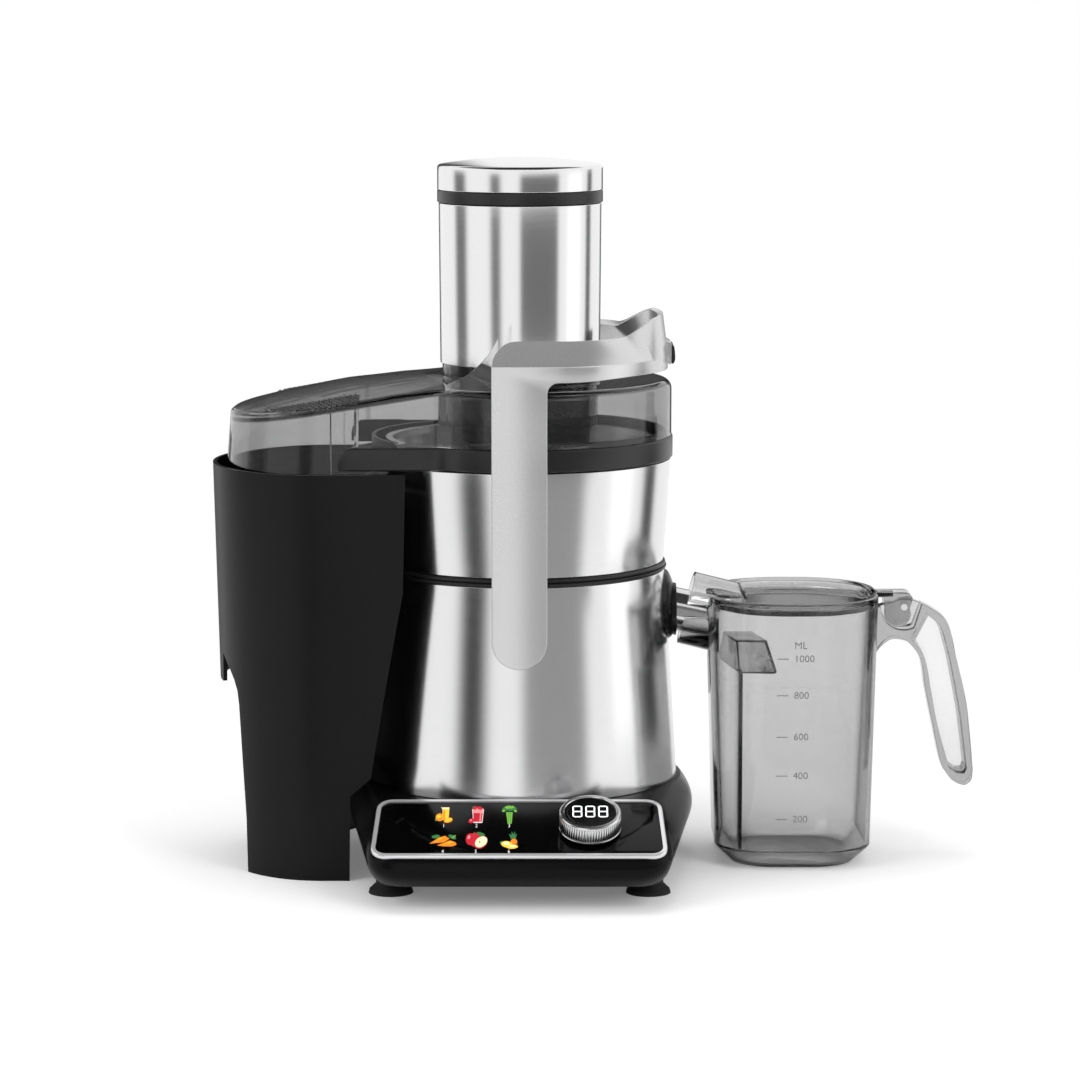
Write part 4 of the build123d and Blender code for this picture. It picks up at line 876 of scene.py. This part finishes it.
def lid():
    """Clear cover over bowl and bin, with a collar round the chute, ribs, grip dots and guide fins."""
    columns, across, turn, down = 288, 10, 8, 10

    def where(column, row):
        angle = 2 * math.pi * column / columns
        cover = 1 - ease((math.cos(angle) + 0.62) / 0.24)
        fillet = LID_FILLET + (COVER_FILLET - LID_FILLET) * cover
        foot_edge = cover_reach(angle)
        edge = foot_edge - COVER_LEAN * cover
        out = Vector((math.cos(angle), math.sin(angle), 0))
        if row <= across:
            at = out * (COLLAR_R - 0.4 + (edge - fillet - COLLAR_R + 0.4) * row / across)
            return (at.x, at.y, crown(at.x, at.y))
        rim = out * edge
        shoulder = crown(rim.x, rim.y)
        if row <= across + turn:
            sweep = math.pi / 2 * (row - across) / turn
            at = out * (edge - fillet + fillet * math.sin(sweep))
            return (at.x, at.y, shoulder - fillet * (1 - math.cos(sweep)))
        foot = LID_SEAT_Z + (SKIRT_Z - LID_SEAT_Z) * ease((foot_edge - SKIRT_CLEAR_R) / 1.5)
        share = (row - across - turn) / down
        at = out * (edge + (foot_edge - edge) * share)
        return (at.x, at.y, shoulder - fillet + (foot - shoulder + fillet) * share)

    shell = sheet(columns, across + turn + down, where)
    settle("lid_shell", shell, "juicer_base", "smoke_lid", ["lid"], wall=LID_WALL, edge=0.5, sharp=30)
    z0, z1 = COLLAR_Z
    collar = turned([(COLLAR_BORE, z0), (COLLAR_R, z0, 0.5), (COLLAR_R, z1), (COLLAR_BORE, z1)])
    settle("lid_collar", collar, "juicer_base", "smoke_lid")
    foot, inner, outer = LID_TOP_Z + 0.2, COLLAR_R + 0.05, COLLAR_R + 2.0
    bead = turned([(inner, foot), (outer, foot, 0.5), (outer, foot + 2.2, 0.6), (inner, foot + 3.2)])
    settle("lid_collar_bead", bead, "juicer_base", "smoke_lid")
    fin = [(-12, 314, 1.0), (-12, 283), (-42, 283), (-42, 287.5)]
    fin += bend([(-42, 287.5), (-31.5, 291.6), (-23.5, 298.0), (-16.5, 306.0), (-12, 314)])[1:-1]
    fins = copies(lambda: slab(fin, 2.6, edge=0.5), [upright(y + 1.3) for y in (-76, 76)])
    settle("arm_guide_fins", fins, "juicer_base", "smoke_lid", finish=FINISHES["clear_fin"])
    settle("lid_grip_dots", grip_dots(), "juicer_base", "smoke_lid", finish=FINISHES["dark_dots"])
    settle("lid_ribs", lid_ribs(), "juicer_base", "smoke_lid")


def lid_ribs():
    """Two slim upright ribs on each side of the cover."""
    ribs = []
    for x, foot, wide in ((-107.0, SKIRT_Z, 0.9), (-92.5, LID_SEAT_Z + 0.2, 2.6)):
        tall = crown(x, COVER_HALF) - foot - 3.0
        lean = math.atan2(COVER_LEAN, tall)
        for side in (-1, 1):
            rib = slab([(-wide / 2, 0), (wide / 2, 0), (wide / 2, tall), (-wide / 2, tall)], 1.0, edge=0.25)
            at = Matrix.Translation((x, side * (COVER_HALF - 0.1) + 0.5, foot))
            ribs.append(moved(rib, at @ Matrix.Rotation(side * lean, 4, "X") @ STAND))
    return joined(*ribs)


def grip_dots():
    """Field of small pyramids on each side of the cover's top, for lifting the lid."""
    dots = []
    for line in range(DOT_LINES):
        y = DOT_FIRST_Y + line * DOT_LINE_PITCH
        for step in range(DOTS_IN_LINE):
            x = DOT_LEFT_X + (step + line % 2 / 2) * DOT_PITCH
            if math.hypot(x, y) < cover_reach(math.atan2(y, x)) - COVER_LEAN - 2.4:
                dots += [Matrix.Translation((x, side * y, crown(x, y) + 0.15)) for side in (-1, 1)]

    def dot():
        bm = bmesh.new()
        bmesh.ops.create_cone(bm, cap_ends=True, segments=4, radius1=1.85, radius2=0.3, depth=1.5)
        return bm

    return copies(dot, dots)


# Locking arm


def arm_section(t):
    """Section across the half-ring at an angle t from the front: (outward offset, height) corners."""
    rise = ease((math.sin(t) - 0.75) / 0.2)
    lean, top = ARM_LEAN - ARM_THUMB_LIFT * rise, ARM_TOP_Z + ARM_THUMB_LIFT * rise
    under = ARM_UNDER_Z + 1.6 * math.sin(2 * t) ** 2
    inner = (-lean - 3.4, top - 3.0 + 1.6 * rise)
    share = (ARM_CREASE_Z - ARM_FOLD_Z) / (ARM_TOP_Z - ARM_FOLD_Z)
    return [(0, under), (0, ARM_FOLD_Z), (0, ARM_CREASE_Z), (-lean, top), inner,
            (-ARM_THICK + (inner[0] + ARM_THICK) * share, ARM_FOLD_Z + (inner[1] - ARM_FOLD_Z) * share),
            (-ARM_THICK, ARM_FOLD_Z), (-ARM_THICK, under)]


def arm():
    """Strap on each side from its pivot to the top, joined round the lid by a half-ring with a thumb lift."""
    outline = [(ARM_BEND_X, ARM_UNDER_Z), (ARM_BEND_X, ARM_TOP_Z), (-ARM_HALF, ARM_TOP_Z, 14.0),
               *arc(0, PIVOT_Z, ARM_HALF, -math.pi, 0, 40), (ARM_HALF, ARM_UNDER_Z, 6.2)]

    def strap():
        bm = moved(slab(outline, ARM_THICK), upright(-ARM_FRONT + ARM_THICK))
        for level in (ARM_FOLD_Z, ARM_CREASE_Z):
            slice_flat(bm, (0, 0, level), (0, 0, 1))
        inner = arm_section(0)[4]
        for vert in bm.verts:
            z = vert.co.z
            if vert.co.y < -ARM_FRONT + 0.1:
                vert.co.y += ARM_LEAN * max(0.0, z - ARM_CREASE_Z) / (ARM_TOP_Z - ARM_CREASE_Z)
            elif z > ARM_FOLD_Z:
                share = (z - ARM_FOLD_Z) / (ARM_TOP_Z - ARM_FOLD_Z)
                vert.co.y += (-inner[0] - ARM_THICK) * share
                vert.co.z = ARM_FOLD_Z + (inner[1] - ARM_FOLD_Z) * share
        ends = [f for f in bm.faces if all(abs(v.co.x - ARM_BEND_X) < 0.01 for v in f.verts)]
        bmesh.ops.delete(bm, geom=ends, context="FACES")
        return bm

    columns, corners = 72, len(arm_section(0))
    half_x = ARM_REACH - ARM_BEND_X

    def where(column, row):
        t = math.pi * column / columns
        centre = Vector((ARM_BEND_X + half_x * math.sin(t), -ARM_FRONT * math.cos(t), 0))
        away = Vector((math.sin(t) / half_x, -math.cos(t) / ARM_FRONT, 0)).normalized()
        offset, z = arm_section(t)[row % corners]
        at = centre + away * offset
        return (at.x, at.y, z)

    ring = sheet(columns, corners, where)
    whole = tidy(joined(ring, strap(), moved(strap(), Matrix.Scale(-1, 4, (0, 1, 0)))))
    yoke = settle("lock_arm", whole, "arm", "satin_arm", ["locking_arm"], edge=0.9, sharp=40)
    yoke.visible_glossy = False
    across = upright(ARM_GRIP_WIDE / 2)
    wedge = [(83.0, 308.2, 0.5), (88.0, 305.4, 0.5), (88.0, 293.6, 0.4), (86.6, 293.2), (84.5, 296.0)]
    settle("grip_wedge", moved(slab(wedge, ARM_GRIP_WIDE, edge=0.4), across), "arm", "satin_arm")
    pad = [(88.05, 304.2, 0.6), (89.4, 304.2, 1.2), (90.2, 300.5, 3.0), (90.2, 295.2, 1.4),
           (89.2, 293.4, 0.8), (88.05, 293.6, 0.3)]
    settle("grip_pad", moved(slab(pad, ARM_GRIP_WIDE, edge=0.5), across), "arm", "grip_black", ["arm_grip"])


# Pulp bin


def hollow_r(z):
    """Radius of the bin's hollow round the body."""
    return between(z, [(0, 122), (50, 122), (60, 113), (168, 101), (300, 101)])


def bin_plan(z):
    """Length of the bin's oval end and half its width."""
    return [between(z, [(0, foot), (BIN_RIM_Z, top)]) for foot, top in zip(BIN_FOOT, BIN_TOP)]


def bin_outline(column, z):
    """Point on the bin's plan: straight sides, an oval left end and a hollow round the body."""
    a, b = bin_plan(z)
    r = hollow_r(z)
    meet = -math.sqrt(r * r - b * b)
    if column <= BIN_SIDE_STEPS:
        return (meet + (BIN_CENTRE_X - meet) * column / BIN_SIDE_STEPS, -b)
    column -= BIN_SIDE_STEPS
    if column <= BIN_END_STEPS:
        angle = -math.pi / 2 - math.pi * column / BIN_END_STEPS
        return (BIN_CENTRE_X + a * math.cos(angle), b * math.sin(angle))
    column -= BIN_END_STEPS
    if column <= BIN_SIDE_STEPS:
        return (BIN_CENTRE_X + (meet - BIN_CENTRE_X) * column / BIN_SIDE_STEPS, b)
    column -= BIN_SIDE_STEPS
    start = math.atan2(b, meet)
    angle = start + (2 * math.pi - 2 * start) * column / BIN_HOLLOW_STEPS
    return (r * math.cos(angle), r * math.sin(angle))


def pulp_bin():
    """Thin wall round a floor, with a finger hollow under the lip at the left end."""
    heights = [0, 1.5, 20, 45, 50, 55, 60, 75, 90, 105, 125, 150, 160, 168, 176, 200, BIN_LOW_RIM_Z,
               BIN_RIM_Z]
    lip_x, lip_z = LIP_TIP
    root_x, root_z = FINGER_WALL[-1]

    def where(column, row):
        return (*bin_outline(column, heights[row]), heights[row])

    def by_the_hollow(face):
        at = face.calc_center_median()
        return at.z < 0.01 or (at.x < HOLLOW_NEAR_X and at.z < HOLLOW_NEAR_Z)

    def left_open(face):
        at = face.calc_center_median()
        past_wall = at.x < between(at.z, [(z, x) for x, z in FINGER_WALL])
        behind_lip = at.z < lip_z or at.x > between(at.z, [(lip_z, lip_x), (root_z, root_x)])
        finger_hollow = at.z < root_z and past_wall and behind_lip
        on_hollow = math.hypot(at.x, at.y) < hollow_r(at.z) + 0.6
        pulp_gate = at.z > BIN_LOW_RIM_Z and at.x > PULP_GATE_X and on_hollow
        return finger_hollow or pulp_gate

    columns = 24

    def hollow(column, row):
        x, z = FINGER_WALL[row]
        a, b = [size - 1.0 for size in bin_plan(z)]
        half = b * math.sqrt(max(0.02, 1 - ((x - BIN_CENTRE_X) / a) ** 2))
        return (x, half * (2 * column / columns - 1), z)

    shell = close(sheet(BIN_STEPS, len(heights) - 1, where), lambda v: v.co.z < 0.01)
    corners = [*FINGER_WALL, LIP_TIP, (lip_x - 20, lip_z)]
    for (x0, z0), (x1, z1) in zip(corners, corners[1:]):
        end = [face for face in shell.faces if by_the_hollow(face)]
        near = dict.fromkeys(part for face in end for part in (*face.verts, *face.edges, face))
        bmesh.ops.bisect_plane(shell, geom=list(near), dist=0.001, plane_co=(x0, 0, z0),
                               plane_no=(z1 - z0, 0, x0 - x1))
    bmesh.ops.delete(shell, geom=[face for face in shell.faces if left_open(face)], context="FACES")
    settle("bin_shell", shell, "bin", "bin_black", ["pulp_bin"], wall=BIN_WALL, edge=0.6, sharp=35)
    finger_wall = sheet(columns, len(FINGER_WALL) - 1, hollow)
    settle("bin_finger_wall", finger_wall, "bin", "bin_black", wall=2.0, sharp=35)


# Juice jug


def jug_level(z):
    """Half width, half depth and corner radius of the jug at a height."""
    return [between(z, [(level[0], level[k]) for level in JUG_LEVELS]) for k in (1, 2, 3)]


def jug_outline(column, half_x, half_y, corner):
    """Point on a rounded rectangle, counted in steps round its four corners and sides."""
    quarter, step = divmod(column % JUG_STEPS, JUG_TURN_STEPS + JUG_SIDE_STEPS)

    def on_corner(which, angle):
        across = (half_x - corner) * (1 if which in (0, 3) else -1)
        along = (half_y - corner) * (1 if which < 2 else -1)
        return Vector((JUG_X + across + corner * math.cos(angle), along + corner * math.sin(angle)))

    if step < JUG_TURN_STEPS:
        return on_corner(quarter, math.pi / 2 * (quarter + step / JUG_TURN_STEPS))
    turn = math.pi / 2 * (quarter + 1)
    share = (step - JUG_TURN_STEPS) / JUG_SIDE_STEPS
    return on_corner(quarter, turn).lerp(on_corner((quarter + 1) % 4, turn), share)


def slanted_x(z):
    """Where the trough and the hood end, towards the spout."""
    return TROUGH_X + (z - TROUGH_Z + TROUGH_R + JUG_WALL) * END_SLANT


def jug_front(x, z):
    """Depth of the jug's front wall at a place."""
    half_x, half_y, corner = jug_level(z)
    past = max(0.0, abs(x - JUG_X) - (half_x - corner))
    return -(half_y - corner) - math.sqrt(max(0.0, corner ** 2 - past ** 2))


def jug():
    heights = [0, 0.8, 3.5, 7.5, 10.0, 11.5, 14, 30, 60, 90, 120, 140, 150, JUG_RIM_Z]

    def where(column, row):
        z = heights[row]
        half_x, half_y, corner = jug_level(z)
        if row == 0:
            half_x, half_y = half_x - 1.5, half_y - 1.5
        return (*jug_outline(column, half_x, half_y, corner), z)

    body = close(sheet(JUG_STEPS, len(heights) - 1, where), lambda v: v.co.z < 0.01)
    outside, inside = [arc(0, 0, r, math.pi, 2 * math.pi, 32) for r in (TROUGH_R + JUG_WALL, TROUGH_R)]
    lay = crosswise(TROUGH_X - 1, TROUGH_Z)
    trough = moved(slab(outside, TROUGH_LONG), lay)
    for vert in trough.verts:
        depth = max(0.0, TROUGH_Z - vert.co.z) / (TROUGH_R + JUG_WALL)
        vert.co.z -= (vert.co.x - TROUGH_X) * TROUGH_FALL * depth
    slice_flat(trough, (slanted_x(TROUGH_Z), 0, TROUGH_Z), (1, 0, -END_SLANT), clear_inner=True)
    channel = moved(slab(inside + [(TROUGH_R, 40), (-TROUGH_R, 40)], CHANNEL_LONG), lay)
    settle("jug_shell", body, "jug", "smoke_jug", ["jug_body"], wall=JUG_WALL, joins=[close(trough)],
           cuts=[channel], edge=0.5)
    jug_marks()


def froth_baffle():
    """Wall across the jug, open at the foot, with a froth catcher on top: an upturned tray, askew."""
    sides = [(-jug_front(BAFFLE_X, z) - 3.4, z) for z in (12, 40, 70, 100, CATCHER_FOOT[0] + 1)]
    outline = sides + [(-y, z) for y, z in reversed(sides)]
    settle("froth_wall", moved(slab(outline, 2.0, edge=0.5), crosswise(BAFFLE_X)), "jug", "smoke_baffle")
    tray = bmesh.new()
    rings = []
    for z, left, right, front, back in (CATCHER_FOOT, CATCHER_TOP):
        corners = [(left, front), (right, front), (right, back), (left, back)]
        rings.append([tray.verts.new((x - (y - front) * CATCHER_SKEW, y, z)) for x, y in corners])
    foot, top = rings
    for k in range(4):
        tray.faces.new((foot[k], foot[k - 3], top[k - 3], top[k]))
    tray.faces.new(top)
    settle("froth_catcher", outward(tray), "jug", "smoke_baffle", ["jug_baffle"], wall=1.6, edge=0.4)


SCALE_LINES = [(200, 31.3), (400, 57.3), (600, 80.4), (800, 105.0), (1000, 126.6)]
SCALE_LINE_X, SCALE_TEXT_X, SCALE_UNIT_Z, SCALE_TEXT_SIZE = 151.7, 158.2, 132.6, 5.9


def jug_marks():
    """Volume lines and plain numbers printed on the front wall."""
    dash = [(-3.3, -0.25), (3.3, -0.25), (3.3, 0.25), (-3.3, 0.25)]
    parts = [moved(lettering("ML", SCALE_TEXT_SIZE), Matrix.Translation((SCALE_TEXT_X, SCALE_UNIT_Z, 0)))]
    for number, z in SCALE_LINES:
        figures = lettering(str(number), SCALE_TEXT_SIZE)
        parts.append(moved(slab(dash, 0.05), Matrix.Translation((SCALE_LINE_X, z, 0))))
        parts.append(moved(figures, Matrix.Translation((SCALE_TEXT_X, z - 1.8, 0))))
    marks = joined(*parts)
    for vert in marks.verts:
        x, z, lift = vert.co
        vert.co = (x, jug_front(x, z) - 0.06 - lift, z)
    settle("jug_scale", outward(marks), "jug", None, finish=ink("scale_print", (0.2, 0.2, 0.2)))


def lettering(text, size):
    """Plain raised figures as a mesh, flat on XY."""
    line = bpy.data.curves.new("figures", "FONT")
    line.body = text
    line.size = size
    line.extrude = 0.03
    line.resolution_u = 3
    holder = bpy.data.objects.new("figures", line)
    bpy.context.scene.collection.objects.link(holder)
    mesh = evaluated_mesh(holder)
    bm = bmesh.new()
    bm.from_mesh(mesh)
    bpy.data.objects.remove(holder)
    bpy.data.meshes.remove(mesh)
    return bm


# Handle's outline and window: (x, z) points of smooth lines
HANDLE_INNER = [(208, 119), (211, 124.6), (217.5, 130.1), (223.4, 130.4), (228.7, 128.3), (235.9, 118.1),
                (239.1, 100.2), (244.2, 76.2), (249.2, 54.5), (251.7, 50.5)]
HANDLE_TIP = [(251.7, 50.5), (255.3, 46.1), (262.4, 43.1), (266.5, 45.8), (267.6, 52.1)]
HANDLE_OUTER = [(267.6, 52.1), (265.6, 73.0), (262.8, 94.2), (256.5, 120.5), (253.9, 132.5), (250.3, 142.0),
                (244.3, 146.8), (237.2, 150.6), (231.0, 152.8), (224.0, 153.5)]
WINDOW_INNER = [(231.9, 129.0), (238.3, 118.6), (241.9, 100.8), (246.6, 77.5), (253.6, 53.4)]
WINDOW_OUTER = [(263.9, 53.0), (259.9, 84.0), (254.4, 113.0), (251.2, 126.2), (247.0, 138.4), (239.9, 144.6)]
HANDLE_HALF, HANDLE_WEB, EAR_HALF = 9.0, 1.6, 4.4
HINGE_ROOM_R, HINGE_ROOM_X, HINGE_ROOM_SLANT = 13.8, 235.7, 0.32


def handle():
    """Open-ended handle: a clear block at the hinge, then a grip of thick rims with a thin web between."""
    outline = bend(HANDLE_INNER) + bend(HANDLE_TIP, 6)[1:-1] + bend(HANDLE_OUTER) + [(206, 148), (206, 112)]
    window = bend(WINDOW_INNER) + [(258.4, 50.2), (262.6, 50.0)] + bend(WINDOW_OUTER)
    hinge_x, hinge_z = JUG_HINGE
    room = [(min(x, HINGE_ROOM_X + (z - hinge_z) * HINGE_ROOM_SLANT), z)
            for x, z in arc(hinge_x, hinge_z, HINGE_ROOM_R, 0, 2 * math.pi, 64)[:-1]]
    cuts = []
    for hole, half in ((window, HANDLE_WEB / 2), (room, EAR_HALF)):
        cuts += [moved(slab(hole, 20), upright(y)) for y in (-half, half + 20)]
    grip = moved(slab(outline, 2 * HANDLE_HALF), upright(HANDLE_HALF))
    settle("jug_grip", grip, "jug", "smoke_handle", ["jug_handle"], cuts=cuts, edge=1.3, sharp=40)


def hood():
    """Half-cone over the spout, slanted at its open end and closed by a sloping face at its tip."""
    columns, along, cap = 40, 16, 6

    def edge(angle, end):
        """Where the line along the cone at an angle meets one of its two ends."""
        z = HOOD_Z
        for _ in range(6):
            x = end(z)
            z = HOOD_Z + (between(x, HOOD_TOP) - HOOD_Z) * math.sin(angle)
        return Vector((x, between(x, HOOD_HALF) * math.cos(angle), z))

    def tip(z):
        return HOOD_TIP_X - (z - HOOD_Z) * HOOD_TIP_LEAN

    def where(column, row):
        angle = math.pi * column / columns
        if row <= along:
            return edge(angle, slanted_x).lerp(edge(angle, tip), row / along)
        return edge(angle, tip).lerp(Vector((HOOD_TIP_X, 0, HOOD_Z)), (row - along) / cap)

    return sheet(columns, along + cap, where)


def jug_lid():
    """Sunk lid with a raised rim and a locating skirt, a hood over the spout and two hinge ears."""
    half_x, half_y, corner = JUG_LEVELS[-1][1:]
    # (inset from the jug's rim, height) from the middle of the top over the rim to the middle below
    section = [(38.0, 153.2), (20.0, 153.2), (7.5, 153.2), (6.2, 153.5), (5.4, 154.6), (4.6, 157.2),
               (3.6, 158.0), (1.2, 158.0), (0.3, 157.6), (0.0, 156.8), (0.0, 155.5), (0.4, 155.35),
               (2.6, 155.35), (3.3, 155.3), (3.4, 151.6), (4.0, 151.0), (5.2, 151.0), (7.5, 151.2),
               (38.0, 151.2)]

    def where(column, row):
        inset, z = section[row]
        return (*jug_outline(column, half_x - inset, half_y - inset, corner - inset), z)

    plate = close(sheet(JUG_STEPS, len(section) - 1, where))
    half = TROUGH_R + 0.4
    slot = moved(slab([(-half, -40), (half, -40), (half, 40), (-half, 40)], 34.0), crosswise(90, TROUGH_Z))
    settle("jug_cover", plate, "jug_cover", "smoke_jug_lid", ["jug_lid"], cuts=[slot], edge=0.3)
    settle("jug_cover_hood", hood(), "jug_cover", "smoke_jug_lid", wall=2.0, edge=0.4, sharp=35)
    lug = arc(222.0, 145.2, 7.6, math.radians(25), math.radians(-195), 44)
    ear = [(206, 155.4), (206, 158.0), (228.4, 158.0, 1.6), (231.0, 154.6, 1.0), *lug, (213.6, 155.4, 0.8)]
    ears = copies(lambda: slab(ear, 3.6, edge=0.5), [upright(y) for y in (8.3, -4.7)])
    strap = slab([(206, 155.4), (206, 158.0), (219.5, 158.0), (219.5, 155.4)], 9.4, edge=0.3)
    bridge = moved(strap, upright(4.7))
    settle("jug_cover_ears", joined(ears, bridge), "jug_cover", "smoke_jug_lid")


steel_body()
spout_surround()
pusher()
base()
panel()
knob()
band()
lid()
arm()
pulp_bin()
jug()
froth_baffle()
handle()
jug_lid()

# The inside keeps its solids and gets finishes by the names of their slots
for node in frame["nodes"].values():
    slot = node.material_slots[0].material.name
    if slot in FINISHES:
        node.material_slots[0].material = FINISHES[slot].material


# Stage, in metres: white ground, soft lights, and cards that only show in reflections
FLOOR_SIZE, FLOOR_FADE, FLOOR_GLOW = 6.0, (0.3, 0.75), 0.16
CAMERA_AT, CAMERA_TILT, CAMERA_LENS = (-0.0324, -2.1341, 0.495), 8.1, 123.3
BY_TUBE, BY_BODY = (0.19, 0.42), (0.0, 0.215)
# Upright boards round the juicer: (bearing from the front, heights, width, level, softness, distance)
BOARDS = {
    "board_back": (180, (0.17, 0.40), 0.70, 0.06, 0.3, 0.62),
    "board_tube_left": (-89, BY_TUBE, 0.30, 0.18, 0.7, 0.52),
    "board_tube_front_left": (-33, BY_TUBE, 0.21, 0.18, 0.8, 0.52),
    "board_tube_front": (27, BY_TUBE, 0.59, 0.17, 0.25, 0.52),
    "board_tube_right": (109, BY_TUBE, 0.14, 0.10, 0.6, 0.52),
    "board_body_left": (-31, BY_BODY, 0.16, 0.03, 0.8, 0.30),
    "board_body_front": (23, BY_BODY, 0.29, 0.33, 0.4, 0.30),
    "board_body_right": (111, BY_BODY, 0.21, 0.02, 0.6, 0.52),
    "board_body_back": (178, BY_BODY, 0.26, 0.12, 0.8, 0.52),
    "board_body_back_left": (-140, BY_BODY, 0.16, 0.10, 0.8, 0.52),
    "board_bright_right": (80, (0.0, 0.42), 0.34, 1.3, 0.6, 0.60)}
SEEN_THROUGH_JUG = "board_body_right"


def flat(name, wide, deep):
    bm = bmesh.new()
    bmesh.ops.create_grid(bm, x_segments=1, y_segments=1, size=0.5)
    return bare(name, moved(bm, Matrix.Diagonal((wide, deep, 1, 1))))


def part_clear(piece, finish, surface, clear):
    """Gives a stage piece a surface that goes clear with a mask."""
    open_air = finish.node("ShaderNodeBsdfTransparent")
    finish.end("Surface", finish.node("ShaderNodeMixShader", {}, {0: clear, 1: surface, 2: open_air}))
    piece.data.materials.append(finish.material)


def ground():
    """White floor that takes the shadow near the juicer and fades into the white backdrop."""
    piece = flat("ground", FLOOR_SIZE, FLOOR_SIZE)
    finish = Finish("white_ground", Base_Color=grey(0.92), Roughness=0.9, Specular_IOR_Level=0.0)
    seen = finish.node("ShaderNodeLightPath", output=0)
    glow = finish.node("ShaderNodeEmission", {}, {"Color": grey(1.0), "Strength": FLOOR_GLOW * seen})
    lit = finish.node("ShaderNodeAddShader", {}, {0: Value(finish, finish.shader.outputs[0]), 1: glow})
    distance = finish.node("ShaderNodeVectorMath", {"operation": "LENGTH"}, {0: finish.place()}, output=1)
    part_clear(piece, finish, lit, finish.soft_step(distance, *FLOOR_FADE))


def reflection_card(name, at, wide, deep, level, soft):
    """A flat card that fades out towards its two sides and shows in glossy surfaces alone."""
    piece = flat(name, wide, deep)
    piece.matrix_world = at
    finish = Finish(name)
    across = finish.along(0)
    aside = across.reckon("ABSOLUTE", across, 0.0)
    glow = finish.node("ShaderNodeEmission", {}, {"Color": grey(level), "Strength": 1.0})
    part_clear(piece, finish, glow, finish.soft_step(aside, wide / 2 * (1 - soft), wide / 2))
    piece.visible_camera = False
    piece.visible_diffuse = False
    piece.visible_shadow = False
    piece.visible_transmission = name == SEEN_THROUGH_JUG


def board(name, bearing, heights, width, level, soft, distance):
    """An upright soft-edged board, by its bearing from the camera's side."""
    z0, z1 = heights
    turn = math.radians(bearing)
    away = Vector((math.sin(turn) * distance, -math.cos(turn) * distance, (z0 + z1) / 2))
    at = Matrix.Translation(AXIS + away) @ Matrix.Rotation(turn, 4, "Z") @ STAND
    reflection_card(name, at, width, z1 - z0, level, soft)


def softbox(name, at, aim, size, power):
    lamp = bpy.data.lights.new(name, "AREA")
    lamp.shape = "RECTANGLE"
    lamp.size, lamp.size_y = size
    lamp.energy = power
    holder = bpy.data.objects.new(name, lamp)
    holder.location = at
    holder.rotation_euler = (Vector(aim) - Vector(at)).to_track_quat("-Z", "Y").to_euler()
    holder.visible_glossy = False
    bpy.context.scene.collection.objects.link(holder)


def studio():
    """White surroundings, dimmer as a light than they look, and three softboxes."""
    world = bpy.data.worlds.new("studio")
    bpy.context.scene.world = world
    world.use_nodes = True
    nodes, links = world.node_tree.nodes, world.node_tree.links
    path = nodes.new("ShaderNodeLightPath")
    seen = path.outputs["Is Camera Ray"]
    for ray in ("Is Glossy Ray", "Is Transmission Ray"):
        either = nodes.new("ShaderNodeMath")
        either.operation = "MAXIMUM"
        links.new(seen, either.inputs[0])
        links.new(path.outputs[ray], either.inputs[1])
        seen = either.outputs[0]
    level = nodes.new("ShaderNodeMapRange")
    links.new(seen, level.inputs["Value"])
    level.inputs["To Min"].default_value = 0.62
    level.inputs["To Max"].default_value = 1.0
    links.new(level.outputs[0], nodes["Background"].inputs["Strength"])
    nodes["Background"].inputs["Color"].default_value = (1, 1, 1, 1)
    middle = AXIS + Vector((0, 0, 0.2))
    softbox("key_right", (0.95, -1.1, 1.0), middle, (0.7, 1.2), 9.0)
    softbox("fill_left", (-1.2, -0.9, 0.9), middle, (0.7, 1.2), 6.0)
    softbox("top", (-0.1, 0.2, 1.8), middle, (1.4, 1.0), 10.0)


def camera():
    lens = bpy.data.cameras.new("photo_camera")
    lens.sensor_width = 36.0
    lens.lens = CAMERA_LENS
    lens.clip_end = 20.0
    holder = bpy.data.objects.new("photo_camera", lens)
    holder.location = CAMERA_AT
    holder.rotation_euler = (math.radians(90 - CAMERA_TILT), 0, 0)
    bpy.context.scene.collection.objects.link(holder)
    bpy.context.scene.camera = holder


ground()
for name, setting in BOARDS.items():
    board(name, *setting)
reflection_card("card_high_back", Matrix.Translation((-0.25, 0.66, 0.6)) @ STAND, 0.34, 0.42, 0.06, 0.3)
reflection_card("card_overhead", Matrix.Translation(AXIS + Vector((0, -0.25, 0.75))), 1.0, 0.9, 0.04, 0.4)
studio()
camera()

bpy.context.scene.view_settings.view_transform = "Standard"
